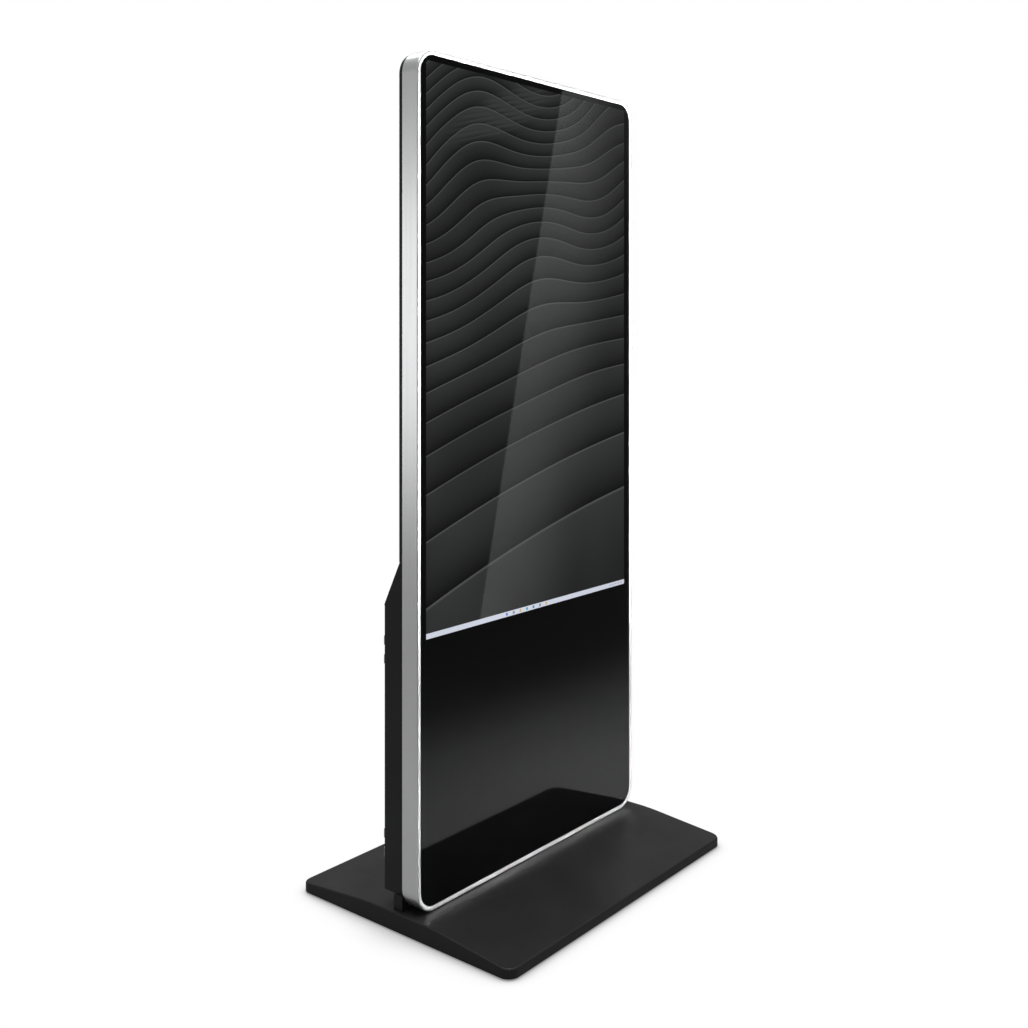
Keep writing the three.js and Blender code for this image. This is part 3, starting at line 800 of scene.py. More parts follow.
@dataclass(frozen=True)
class RoundedBox2D:
    """A rectangle with round corners in a plane."""

    x0: float
    x1: float
    z0: float
    z1: float
    radius: float
    steps: int = 12

    def ring(self, inset: float = 0.0) -> list[Point2]:
        """Give the outline, moved inwards by an amount.

        Args:
            inset: how far inside the outline the points lie.

        Returns:
            The points, anticlockwise.
        """
        r = max(self.radius - inset, TINY)
        low_x, high_x = self.x0 + inset + r, self.x1 - inset - r
        low_z, high_z = self.z0 + inset + r, self.z1 - inset - r
        centres = (
            (high_x, low_z, -90), (high_x, high_z, 0), (low_x, high_z, 90), (low_x, low_z, 180)
        )
        points = []
        for cx, cz, start in centres:
            for step in range(self.steps + 1):
                angle = math.radians(start + 90 * step / self.steps)
                points.append((cx + r * math.cos(angle), cz + r * math.sin(angle)))
        return points


def front_ring(points: Iterable[Point2], y: float) -> list[Vector]:
    """Place front-view points at a depth."""
    return [Vector((x, y, z)) for x, z in points]


def rounded_slab(
    box: RoundedBox2D, y0: float, y1: float, edge: float, steps: int
) -> bmesh.types.BMesh:
    """Make a plate seen from the front with softly rounded edges.

    Args:
        box: its outline.
        y0: its front face.
        y1: its back face.
        edge: the radius of the front and back edges.
        steps: faces round each edge.

    Returns:
        The mesh.
    """
    rings = []
    for step in range(steps + 1):
        turn = math.radians(90 * step / steps)
        depth = y0 + edge * (1 - math.cos(turn))
        rings.append(front_ring(box.ring(edge * (1 - math.sin(turn))), depth))
    for step in range(steps + 1):
        turn = math.radians(90 * step / steps)
        depth = y1 - edge * (1 - math.sin(turn))
        rings.append(front_ring(box.ring(edge * (1 - math.cos(turn))), depth))
    return loft(rings)


def circle(radius: float, height: float, sides: int) -> list[Vector]:
    """Give the points of a level circle round the Z axis.

    Args:
        radius: its radius.
        height: its height.
        sides: how many points.

    Returns:
        The points, anticlockwise.
    """
    turn = 2 * math.pi / sides
    return [
        Vector((radius * math.cos(i * turn), radius * math.sin(i * turn), height))
        for i in range(sides)
    ]


def turned(profile: Sequence[Point2], sides: int) -> bmesh.types.BMesh:
    """Turn a closed section round the Z axis.

    Args:
        profile: radius and height pairs, starting and ending on the axis or nearly so.
        sides: how many faces go round.

    Returns:
        The mesh.
    """
    return loft([circle(max(radius, TINY), height, sides) for radius, height in profile])


def merged(parts: Sequence[bmesh.types.BMesh]) -> bmesh.types.BMesh:
    """Put several meshes into one.

    Args:
        parts: the meshes, which are freed.

    Returns:
        The joined mesh.
    """
    whole = bmesh.new()
    for part in parts:
        mesh = bpy.data.meshes.new("part")
        part.to_mesh(mesh)
        part.free()
        whole.from_mesh(mesh)
        bpy.data.meshes.remove(mesh)
    return whole


def moved(shape: bmesh.types.BMesh, matrix: Matrix) -> bmesh.types.BMesh:
    """Move a mesh by a matrix and give it back."""
    bmesh.ops.transform(shape, matrix=matrix, verts=shape.verts)
    return shape


def to_back(place: Vector) -> Matrix:
    """Stand a shape turned round Z on a face that looks towards +Y."""
    return Matrix.Translation(place) @ Matrix.Rotation(math.radians(-90), 4, "X")


def to_floor(place: Vector) -> Matrix:
    """Stand a shape turned round Z on a face that looks down."""
    return Matrix.Translation(place) @ Matrix.Rotation(math.pi, 4, "X")


def back_middle(node: str) -> tuple[float, float, float]:
    """Give a CAD node's middle across, its back face and its middle height."""
    low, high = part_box(node)
    return (low[0] + high[0]) / 2, high[1], (low[2] + high[2]) / 2


def slot_cutters(
    count: int, x: float, z: float, pitch: float, length: float, y0: float, y1: float
) -> bmesh.types.BMesh:
    """Make a row of round-ended upright slots.

    Args:
        count: how many slots.
        x: the first slot's middle.
        z: the slots' lower end.
        pitch: the distance between slots.
        length: their height.
        y0: where the cutters start.
        y1: where they end.

    Returns:
        The cutters as one mesh.
    """
    half = 2.0 * MM
    parts = []
    for index in range(count):
        mid = x + index * pitch
        box = RoundedBox2D(mid - half, mid + half, z, z + length, half * 0.999, 6)
        parts.append(loft([front_ring(box.ring(), y0), front_ring(box.ring(), y1)]))
    return merged(parts)


def carve(piece: bpy.types.Object, cutter_shape: bmesh.types.BMesh) -> None:
    """Cut a mesh out of a piece and keep only the result.

    Args:
        piece: the piece to cut.
        cutter_shape: the cutter, which is freed.
    """
    cutter = as_object("cutter", cutter_shape)
    cutter.modifiers.clear()
    piece.modifiers.clear()
    modifier = piece.modifiers.new("cut", "BOOLEAN")
    modifier.operation = "DIFFERENCE"
    modifier.solver = "EXACT"
    modifier.object = cutter
    graph = bpy.context.evaluated_depsgraph_get()
    fresh = bpy.data.meshes.new_from_object(piece.evaluated_get(graph))
    piece.modifiers.clear()
    tidy = bmesh.new()
    tidy.from_mesh(fresh)
    crease(tidy, SMOOTH_DEGREES)
    tidy.to_mesh(fresh)
    tidy.free()
    old = piece.data
    piece.data = fresh
    bpy.data.meshes.remove(old)
    bpy.data.objects.remove(cutter)
    even_shading(piece)


def soften(piece: bpy.types.Object, width: float, segments: int = 2) -> None:
    """Round a piece's sharp edges with a bevel modifier.

    Args:
        piece: the piece.
        width: the bevel's width in metres.
        segments: faces across the bevel.
    """
    bevel = piece.modifiers.new("softened_edges", "BEVEL")
    bevel.width = width
    bevel.segments = segments
    bevel.limit_method = "ANGLE"
    bevel.angle_limit = math.radians(40)
    bevel.harden_normals = True


def dress(piece: bpy.types.Object, material: bpy.types.Material) -> None:
    """Give a piece one material."""
    piece.data.materials.clear()
    piece.data.materials.append(material)


def hexagon(across: float, height: float, points: int) -> list[Vector]:
    """Give points spread round a level hexagon.

    Args:
        across: the distance from its middle to a corner.
        height: its height.
        points: how many points.

    Returns:
        The points, anticlockwise.
    """
    sector = math.pi / 3
    ring = []
    for i in range(points):
        angle = i * 2 * math.pi / points
        r = across * math.cos(sector / 2) / math.cos((angle % sector) - sector / 2)
        ring.append(Vector((r * math.cos(angle), r * math.sin(angle), height)))
    return ring


def screw(radius: float, height: float) -> bmesh.types.BMesh:
    """Make a button-head screw standing on Z with a sunk hexagon drive.

    Args:
        radius: the head's radius.
        height: the head's height.

    Returns:
        The mesh.
    """
    sides = 24
    rings = [circle(radius * 0.96, 0.0, sides), circle(radius, height * 0.15, sides)]
    for step in range(1, 5):
        bulge = math.radians(20 * step)
        level = height * (0.15 + 0.85 * math.sin(bulge))
        rings.append(circle(radius * (0.62 + 0.38 * math.cos(bulge)), level, sides))
    for level in (0.99, 0.35):
        rings.append(hexagon(radius * 0.48, height * level, sides))
    return loft(rings)


def screws_at(
    name: str, places: Iterable[Vector], facing: Callable[[Vector], Matrix], radius: float
) -> bpy.types.Object:
    """Make one object from a screw at each place.

    Args:
        name: the object's name.
        places: the seats of the heads.
        facing: gives the matrix that stands a screw at a place.
        radius: the heads' radius.

    Returns:
        The object.
    """
    spin = random.Random(len(name))
    parts = []
    for place in places:
        head = screw(radius, radius * 0.55)
        turn = Matrix.Rotation(spin.uniform(0, math.pi), 4, "Z")
        parts.append(moved(head, facing(place) @ turn))
    return as_object(name, merged(parts), 40.0)


class Assembly:
    """A sub-assembly that dresses its pieces and puts them on their bodies."""

    def __init__(self, finishes: Finishes) -> None:
        """Keep the finishes.

        Args:
            finishes: every finish on the kiosk.
        """
        self.finishes = finishes

    def fit(
        self,
        piece: bpy.types.Object,
        slot_name: str,
        body: str = ROOT,
        replaces: Sequence[str] = (),
        material: bpy.types.Material | None = None,
    ) -> bpy.types.Object:
        """Dress a piece, put it on a body and log it.

        Args:
            piece: the piece.
            slot_name: the record slot its finish comes from.
            body: the body it rides on.
            replaces: the CAD nodes it stands for.
            material: a finish other than the slot's own.

        Returns:
            The piece.
        """
        dress(piece, material or self.finishes.by_slot[slot_name])
        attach(piece, body)
        if replaces:
            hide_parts(*replaces)
        LOG.info("%s rides on %s", piece.name, body)
        return piece

    def carry(self, names: Iterable[str], width: float) -> None:
        """Dress CAD nodes that stay, and soften their edges.

        Args:
            names: the nodes.
            width: the softening's width.
        """
        slots = {entry["node"]: entry["material_slot"] for entry in frame["record"]["subparts"]}
        for name in names:
            node = frame["nodes"][name]
            dress(node, self.finishes.by_slot[slots[name]])
            soften(node, width)
            LOG.info("%s carried over", name)


def corners(*nodes: str) -> tuple[Vector, Vector]:
    """Give the box round several CAD nodes.

    Args:
        nodes: the nodes' names.

    Returns:
        The box's lowest and highest corners.
    """
    boxes = [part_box(node) for node in nodes]
    low = Vector(min(box[0][axis] for box in boxes) for axis in range(3))
    high = Vector(max(box[1][axis] for box in boxes) for axis in range(3))
    return low, high


# --------------------------------------------------------------------------------------------
# Sub-assemblies
# --------------------------------------------------------------------------------------------


@dataclass
class FrameRing:
    """The aluminium frame as one continuous drawn ring with a crowned lip."""

    finishes: Finishes
    corner: float = 50 * MM
    lip: float = 10 * MM
    wall: float = 3 * MM
    outer_round: float = 2.2 * MM
    crown: float = 0.5 * MM

    def section(self, front: float, back: float) -> list[Point2]:
        """Give the closed section as inset and depth pairs.

        Args:
            front: the frame's front plane.
            back: its back plane.

        Returns:
            The section's points in order.
        """
        r, tail = self.outer_round, 1.2 * MM
        points = []
        for step in range(7):
            turn = math.radians(15 * step)
            points.append((tail * (1 - math.cos(turn)), back - tail + tail * math.sin(turn)))
        shelf = front + 9.8 * MM
        points += [
            (self.wall, back),
            (self.wall, shelf),
            (self.lip + 6 * MM, shelf),
            (self.lip + 6 * MM, shelf - 3 * MM),
            (self.lip, shelf - 3 * MM),
            (self.lip, front + self.crown + 0.5 * MM),
        ]
        for step in range(9):
            t = step / 8
            inset = self.lip - 0.3 * MM - t * (self.lip - 0.3 * MM - r)
            points.append((inset, front + self.crown * (1 - t) ** 2))
        for step in range(1, 10):
            turn = math.radians(10 * step)
            points.append((r * (1 - math.sin(turn)), front + r * (1 - math.cos(turn))))
        return points

    def build(self) -> None:
        """Sweep the section round the outline and fit the ring."""
        names = [name for name in frame["nodes"] if name.startswith("frame_")]
        low, high = corners(*names)
        box = RoundedBox2D(low.x, high.x, low.z, high.z, self.corner, 24)
        rings = [front_ring(box.ring(inset), depth) for inset, depth in self.section(low.y, high.y)]
        ring = as_object("frame_ring", loft(rings, close=True), 35.0)
        Assembly(self.finishes).fit(ring, "anodised_frame", replaces=names)


@dataclass
class DisplayStack:
    """Cover glass, its black print, the lit picture and the display behind them."""

    finishes: Finishes
    glass_corner: float = 39.5 * MM
    arris: float = 0.6 * MM
    bar_height: float = 11.5 * MM

    def build(self) -> None:
        """Build and fit each layer."""
        kit = Assembly(self.finishes)
        low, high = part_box("front_glass")
        outline = RoundedBox2D(low[0], high[0], low[2], high[2], self.glass_corner, 20)
        glass = as_object("cover_glass", rounded_slab(outline, low[1], high[1], self.arris, 3))
        kit.fit(glass, "screen_glass", replaces=["front_glass"])
        kit.carry(["printed_mask"], 0.0001)
        kit.carry(["touch_sensor", "lcd_panel", "lower_backing"], 0.0006)
        self._picture(kit)

    def _picture(self, kit: Assembly) -> None:
        """Lay the lit picture, its bar and the bar's marks behind the glass.

        Args:
            kit: fits the pieces.
        """
        low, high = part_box("lcd_panel")
        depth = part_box("touch_sensor")[0][1] - 0.2 * MM
        x0, x1 = low[0] + PANEL_BORDER, high[0] - PANEL_BORDER
        z0, z1 = low[2] + PANEL_BORDER, high[2] - PANEL_BORDER
        split = z0 + self.bar_height
        for name, low_z, high_z, material in (
            ("screen_picture", split, z1, self.finishes.picture),
            ("task_bar", z0, split, self.finishes.bar),
        ):
            sheet = RoundedBox2D(x0, x1, low_z, high_z, 0.4 * MM, 2)
            slab = rounded_slab(sheet, depth - 0.1 * MM, depth, 0.02 * MM, 1)
            kit.fit(as_object(name, slab), "display_module", material=material)
        middle = (z0 + split) / 2
        marks = self.finishes.marks
        size = 0.27 * self.bar_height
        pitch = self.bar_height * 2.1
        start = -3 * pitch - 30 * MM
        for index in range(7):
            box = self._mark_box(start + index * pitch, middle, size, size, size * 0.45)
            self._mark(kit, f"bar_mark_{index + 1}", box, depth, marks[index % len(marks)])
        for index in range(5):
            x = x1 - (62 - index * 12) * MM
            box = self._mark_box(x, middle, 2.2 * MM, 1.3 * MM, 1 * MM)
            self._mark(kit, f"status_mark_{index + 1}", box, depth, marks[1])

    @staticmethod
    def _mark_box(x: float, z: float, wide: float, tall: float, radius: float) -> RoundedBox2D:
        """Give a mark's outline round its middle, from half its width and height."""
        return RoundedBox2D(x - wide, x + wide, z - tall, z + tall, radius, 4)

    @staticmethod
    def _mark(
        kit: Assembly, name: str, box: RoundedBox2D, depth: float, material: bpy.types.Material
    ) -> None:
        """Lay one lit mark over the bar.

        Args:
            kit: fits the piece.
            name: the piece's name.
            box: its outline.
            depth: the picture's back plane.
            material: its finish.
        """
        slab = rounded_slab(box, depth - 0.2 * MM, depth - 0.1 * MM, 0.02 * MM, 1)
        kit.fit(as_object(name, slab), "display_module", material=material)


@dataclass
class RearCover:
    """The shallow pan behind the display with vents and its screws."""

    finishes: Finishes
    corner: float = 48 * MM
    edge: float = 3.5 * MM

    def build(self) -> None:
        """Build the pan, cut its vents and fit its screws."""
        kit = Assembly(self.finishes)
        low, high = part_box("rear_cover_upper")
        skin = 1.5 * MM
        box = RoundedBox2D(low[0], high[0], low[2] - 60 * MM, high[2], self.corner, 16)
        rings = []
        for step in range(7):
            turn = math.radians(90 - 15 * step)
            inset = self.edge * (1 - math.cos(turn))
            rings.append(front_ring(box.ring(inset), high[1] - self.edge * (1 - math.sin(turn))))
        rings.append(front_ring(box.ring(0.0), low[1]))
        rings.append(front_ring(box.ring(skin), low[1]))
        rings.append(front_ring(box.ring(skin), high[1] - skin))
        pan = loft(rings)
        plane = bmesh.ops.bisect_plane(
            pan,
            geom=pan.verts[:] + pan.edges[:] + pan.faces[:],
            plane_co=(0, 0, low[2]),
            plane_no=(0, 0, -1),
            clear_outer=True,
        )
        rim = [item for item in plane["geom_cut"] if isinstance(item, bmesh.types.BMEdge)]
        bmesh.ops.holes_fill(pan, edges=rim)
        cover = as_object("rear_cover", pan, 35.0)
        reach = (low[1] - 0.01, high[1] + 0.01)
        for x in (-270 * MM, 150 * MM):
            carve(cover, slot_cutters(12, x + 2 * MM, 1640 * MM, 10.5 * MM, 90 * MM, *reach))
        kit.fit(cover, "black_sheet", replaces=["rear_cover_upper"])
        inset = 22 * MM
        places = []
        for x in (low[0] + inset, high[0] - inset):
            for index in range(5):
                z = low[2] + inset + index * (high[2] - low[2] - 2.4 * inset) / 4
                places.append(Vector((x, high[1], z)))
        for x in (-200 * MM, 0.0, 200 * MM):
            places.append(Vector((x, high[1], high[2] - inset)))
            places.append(Vector((x, high[1], low[2] + inset)))
        heads = screws_at("rear_cover_screws", places, to_back, 3.6 * MM)
        kit.fit(heads, "bright_fittings", material=self.finishes.by_slot["player_case"])


@dataclass
class LowerHousing:
    """The deeper housing: folded sides, sloped top, floor and connector strip."""

    finishes: Finishes
    edge: float = 5 * MM
    skin: float = 1.5 * MM

    @staticmethod
    def _bend(centre: Point2, toward: float, radius: float) -> list[Point2]:
        """Give the quarter turn of a folded corner, seen from above.

        Args:
            centre: the middle of the turn.
            toward: 1 or -1, the way to the panel's inside.
            radius: the turn's radius.

        Returns:
            The points from the side face to the back face.
        """
        cx, cy = centre
        steps = (math.radians(90 * i / 8) for i in range(9))
        return [(cx - toward * radius * math.cos(t), cy + radius * math.sin(t)) for t in steps]

    def _side(self, side: Side) -> bmesh.types.BMesh:
        """Fold one side panel and trim it along the slope.

        Args:
            side: which side.

        Returns:
            The mesh.
        """
        low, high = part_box(f"housing_side_{side.name.lower()}")
        outer = low[0] if side is Side.LEFT else high[0]
        inner = high[0] if side is Side.LEFT else low[0]
        toward = 1.0 if side is Side.LEFT else -1.0
        front, back = low[1], high[1]
        r, skin = self.edge, self.skin
        centre = (outer + toward * r, back - r)
        plan = [(outer, front), *self._bend(centre, toward, r)]
        plan += [(inner, back), (inner, back - skin)]
        plan += list(reversed(self._bend(centre, toward, r - skin)))
        plan.append((outer + toward * skin, front))
        rings = [[Vector((x, y, z)) for x, y in plan] for z in (low[2], high[2])]
        shape = loft(rings)
        slope_low, slope_high = 674 * MM, 772 * MM
        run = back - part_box("rear_cover_upper")[1][1]
        normal = Vector((0, slope_high - slope_low, run))
        cut = bmesh.ops.bisect_plane(
            shape,
            geom=shape.verts[:] + shape.edges[:] + shape.faces[:],
            plane_co=(0, back, slope_low),
            plane_no=normal,
            clear_outer=True,
        )
        rim = [item for item in cut["geom_cut"] if isinstance(item, bmesh.types.BMEdge)]
        bmesh.ops.holes_fill(shape, edges=rim)
        return shape

    def build(self) -> None:
        """Build and fit the housing's panels and screws."""
        kit = Assembly(self.finishes)
        for side in Side:
            panel = as_object(f"side_panel_{side.name.lower()}", self._side(side), 30.0)
            soften(panel, 0.5 * MM)
            kit.fit(panel, "black_sheet", replaces=[f"housing_side_{side.name.lower()}"])
        kit.carry(["housing_slope", "housing_floor", "connector_strip"], 0.4 * MM)
        kit.carry(["neck_bar"], 1.2 * MM)
        low, high = corners("housing_side_left", "housing_side_right")
        places = []
        for x in (low.x + 8 * MM, high.x - 8 * MM):
            for index in range(4):
                places.append(Vector((x, high.y, low.z + (40 + index * 170) * MM)))
        strip_low, strip_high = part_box("connector_strip")
        for z in (strip_low[2] + 18 * MM, strip_high[2] - 18 * MM):
            for x in (strip_low[0] + 12 * MM, strip_high[0] - 12 * MM):
                places.append(Vector((x, strip_high[1], z)))
        heads = screws_at("housing_screws", places, to_back, 3.2 * MM)
        kit.fit(heads, "bright_fittings", material=self.finishes.by_slot["player_case"])


@dataclass
class ServiceDoor:
    """The hinged rear door with its folded edges, locks and hinges."""

    finishes: Finishes

    def build(self) -> None:
        """Dress the door, its hinges, and its locks' barrels and cams."""
        kit = Assembly(self.finishes)
        kit.carry(["service_door"], 0.4 * MM)
        kit.carry(["door_hinge_lower", "door_hinge_upper"], 0.3 * MM)
        levels = ("lower", "upper")
        kit.carry([f"lock_barrel_{level}" for level in levels], 0.3 * MM)
        kit.carry([f"lock_cam_{level}" for level in levels], 0.3 * MM)


@dataclass
class Connectors:
    """Sockets and switches on the fixed strip."""

    finishes: Finishes

    def build(self) -> None:
        """Dress the shells and add the contacts inside them."""
        kit = Assembly(self.finishes)
        kit.carry(["power_inlet", "rocker_case", "power_rocker"], 0.4 * MM)
        kit.carry(["lan_port", "usb_port_lower", "usb_port_upper"], 0.25 * MM)
        kit.carry(["button_case", "power_button"], 0.5 * MM)
        self._inlet_blades(kit)
        self._usb_tongues(kit)
        self._lan_contacts(kit)

    @staticmethod
    def _inlet_blades(kit: Assembly) -> None:
        """Stand the three blades in the inlet.

        Args:
            kit: fits the piece.
        """
        cx, back, cz = back_middle("power_inlet")
        blades = []
        for x, z in ((-6.5, -2.5), (0, 3), (6.5, -2.5)):
            box = RoundedBox2D(
                cx + (x - 1) * MM, cx + (x + 1) * MM,
                cz + (z - 2.6) * MM, cz + (z + 2.6) * MM, 0.6 * MM, 3,
            )
            blades.append(rounded_slab(box, back - 19.5 * MM, back - 5 * MM, 0.5 * MM, 2))
        kit.fit(as_object("inlet_blades", merged(blades)), "port_shells")

    @staticmethod
    def _usb_tongues(kit: Assembly) -> None:
        """Set a tongue in each USB socket.

        Args:
            kit: fits the pieces.
        """
        for level in ("lower", "upper"):
            cx, back, cz = back_middle(f"usb_port_{level}")
            outline = RoundedBox2D(
                cx - 5.4 * MM, cx + 5.4 * MM, cz + 0.1 * MM, cz + 1.9 * MM, 0.4 * MM, 3
            )
            tongue = rounded_slab(outline, back - 11.5 * MM, back - 2 * MM, 0.3 * MM, 2)
            kit.fit(as_object(f"usb_tongue_{level}", tongue), "black_plastic")

    def _lan_contacts(self, kit: Assembly) -> None:
        """Lay eight gold contacts in the LAN socket.

        Args:
            kit: fits the piece.
        """
        cx, back, cz = back_middle("lan_port")
        half = 0.22 * MM
        wires = []
        for index in range(8):
            x = cx + (index - 3.5) * 1.02 * MM
            box = RoundedBox2D(x - half, x + half, cz + 2.0 * MM, cz + 2.6 * MM, 0.1 * MM, 2)
            wires.append(rounded_slab(box, back - 13 * MM, back - 4 * MM, 0.1 * MM, 1))
        contacts = as_object("lan_contacts", merged(wires))
        kit.fit(contacts, "port_shells", material=self.finishes.gold)


@dataclass
class EquipmentBay:
    """Player, supply, boards, speakers, fan and leads behind the door."""

    finishes: Finishes

    def build(self) -> None:
        """Dress what the bay holds and add its small detail."""
        kit = Assembly(self.finishes)
        kit.carry(["equipment_tray", "chassis_post_left", "chassis_post_right"], 0.5 * MM)
        kit.carry(["chassis_upright_left", "chassis_upright_right"], 0.5 * MM)
        kit.carry(["chassis_cross_middle", "chassis_cross_top"], 0.5 * MM)
        kit.carry(["media_player", "power_supply", "speaker_left", "speaker_right"], 0.8 * MM)
        kit.carry(["driver_board", "touch_controller"], 0.2 * MM)
        kit.carry(["fan_frame", "fan_rotor"], 0.5 * MM)
        kit.carry(["display_lead", "supply_lead"], 0.2 * MM)
        self._speaker_cones(kit)
        self._board_parts(kit)

    def _speaker_cones(self, kit: Assembly) -> None:
        """Fit a cone and surround in each speaker.

        Args:
            kit: fits the pieces.
        """
        for side in Side:
            cx, back, cz = back_middle(f"speaker_{side.name.lower()}")
            profile = [(0.0, -6.6), (4.0, -7.2), (7.0, -9.0), (11.0, -10.5), (21.0, -3.4)]
            for step in (0.5, 1.0, 1.5, 2.0):
                profile.append((21.0 + 2 * step, -3.4 + 1.6 * math.sin(math.pi * step / 2)))
            profile += [(25.0, -4.6), (21.0, -5.0), (11.5, -12.0), (0.0, -12.0)]
            scaled = [(r * MM, z * MM) for r, z in profile]
            cone = moved(turned(scaled, 48), to_back(Vector((cx, back, cz))))
            piece = as_object(f"speaker_cone_{side.name.lower()}", cone)
            kit.fit(piece, "black_plastic", material=self.finishes.cone)

    def _board_parts(self, kit: Assembly) -> None:
        """Stand capacitors and chips on the driver board.

        Args:
            kit: fits the pieces.
        """
        cx, _, cz = back_middle("driver_board")
        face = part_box("driver_board")[0][1] + 7.6 * MM
        can = [(0.0, 0.0), (3.2, 0.0), (3.2, 7.6), (2.9, 8.0), (0.0, 8.0)]
        profile = [(r * MM, h * MM) for r, h in can]
        cans = []
        for index in range(6):
            place = Vector((cx + (-55 + 9.5 * index) * MM, face, cz + 20 * MM))
            cans.append(moved(turned(profile, 20), to_back(place)))
        plated = self.finishes.by_slot["port_shells"]
        kit.fit(as_object("board_capacitors", merged(cans)), "circuit_board", material=plated)
        draw = random.Random(7)
        chips = []
        for _ in range(26):
            x = cx + draw.uniform(-58, 58) * MM
            z = cz + draw.uniform(-20, 12) * MM
            w, h = draw.choice(((1.6, 0.9), (2.4, 1.4), (4.0, 3.0)))
            box = RoundedBox2D(x - w * MM, x + w * MM, z - h * MM, z + h * MM, 0.15 * MM, 2)
            chips.append(rounded_slab(box, face, face + 1.1 * MM, 0.1 * MM, 1))
        board_chips = as_object("board_chips", merged(chips))
        kit.fit(board_chips, "circuit_board", material=self.finishes.chip)


@dataclass
class Foot:
    """The wide low foot with its gently sloped cover."""

    finishes: Finishes
    corner: float = 26 * MM
    edge: float = 4 * MM
    shoulder: float = 60 * MM
    reach: float = 130 * MM
    brink: float = 22.4 * MM
    skin: float = 2.5 * MM

    def surface(self, y: float, top: float, half: float) -> float:
        """Give the cover's height over a line across the foot.

        Args:
            y: the distance from the middle.
            top: the height of the flat middle.
            half: half the foot's depth.

        Returns:
            The height.
        """
        away = abs(y)
        slope = (top - 3.3 * MM - self.brink - 0.8 * MM) / (half - self.edge - self.reach)
        if away <= self.shoulder:
            return top
        if away >= self.reach:
            return top - 3.3 * MM - slope * (away - self.reach)
        t = (away - self.shoulder) / (self.reach - self.shoulder)
        return top - 3.3 * MM * t * t

    def _outline(self, half_x: float, half_y: float, inset: float) -> list[Point2]:
        """Give the foot's outline from above, moved inwards.

        Args:
            half_x: half the foot's width.
            half_y: half its depth.
            inset: how far inside the edge the points lie.

        Returns:
            The points, with each one's mirror at the same place from the other end.
        """
        r = self.corner - inset
        hx, hy = half_x - inset - r, half_y - inset - r
        arc = [math.radians(9 * i) for i in range(11)]
        right = [(hx + r * math.sin(a), -hy - r * math.cos(a)) for a in arc]
        count = 44
        right += [(half_x - inset, -hy + 2 * hy * i / count) for i in range(1, count)]
        right += [(hx + r * math.cos(a), hy + r * math.sin(a)) for a in arc]
        return right + [(-x, y) for x, y in reversed(right)]

    def _rings(self, low: Sequence[float], high: Sequence[float]) -> list[list[Vector]]:
        """Give the cover's rings from its underside, round the rim, to its top.

        Args:
            low: the lowest corner of the cover's box.
            high: its highest corner.

        Returns:
            The rings.
        """
        half_x, half_y, top = high[0], high[1], high[2]
        rolled = 1.2 * MM

        def level(inset: float, drop: float) -> list[Vector]:
            """Lay an outline a little below the sloped surface.

            Args:
                inset: how far inside the edge it lies.
                drop: how far below the surface.

            Returns:
                The ring.
            """
            points = self._outline(half_x, half_y, inset)
            return [Vector((x, y, self.surface(y, top, half_y) - drop)) for x, y in points]

        def flat(inset: float, lift: float) -> list[Vector]:
            """Lay an outline level, a little above the underside.

            Args:
                inset: how far inside the edge it lies.
                lift: how far above the underside.

            Returns:
                The ring.
            """
            points = self._outline(half_x, half_y, inset)
            return [Vector((x, y, low[2] + lift)) for x, y in points]

        rings = [
            level(self.skin + 1 * MM, self.skin),
            level(self.skin, self.skin + 1 * MM),
            flat(self.skin, 0.4 * MM),
            flat(self.skin - 0.4 * MM, 0.0),
            flat(rolled, 0.0),
        ]
        for step in range(1, 5):
            turn = math.radians(22.5 * step)
            rings.append(flat(rolled * (1 - math.sin(turn)), rolled * (1 - math.cos(turn))))
        for step in range(9):
            turn = math.radians(90 * step / 8)
            inset = self.edge * (1 - math.cos(turn))
            rings.append(level(inset, self.edge * (1 - math.sin(turn))))
        return rings

    def build(self) -> None:
        """Build the cover with a ladder of faces on top, and dress the rest."""
        kit = Assembly(self.finishes)
        low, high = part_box("base_cover")
        shape = bmesh.new()
        rows = [[shape.verts.new(point) for point in ring] for ring in self._rings(low, high)]
        count = len(rows[0])
        for below, above in zip(rows, rows[1:]):
            for i in range(count):
                j = (i + 1) % count
                shape.faces.new((below[i], below[j], above[j], above[i]))
        for row in (rows[0], rows[-1]):
            for i in range(count // 2 - 1):
                shape.faces.new((row[i], row[i + 1], row[count - 2 - i], row[count - 1 - i]))
        kit.fit(as_object("foot_cover", shape, 30.0), "foot_coat", replaces=["base_cover"])
        kit.carry(["base_plate", "ballast_front", "ballast_rear"], 0.8 * MM)
        ends = [(row, end) for row in ("front", "rear") for end in ("left", "right")]
        kit.carry([f"foot_pad_{row}_{end}" for row, end in ends], 0.6 * MM)
        self._pad_screws(kit)

    def _pad_screws(self, kit: Assembly) -> None:
        """Sink a screw under the plate beside each pad.

        Args:
            kit: fits the pieces.
        """
        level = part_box("base_plate")[0][2]
        spots = [(x, y) for x in (-380, -120, 120, 380) for y in (-282, 282)]
        places = [Vector((x * MM, y * MM, level)) for x, y in spots]
        kit.fit(screws_at("plate_screws", places, to_floor, 3.4 * MM), "bright_fittings")


# --------------------------------------------------------------------------------------------
# Studio
# --------------------------------------------------------------------------------------------


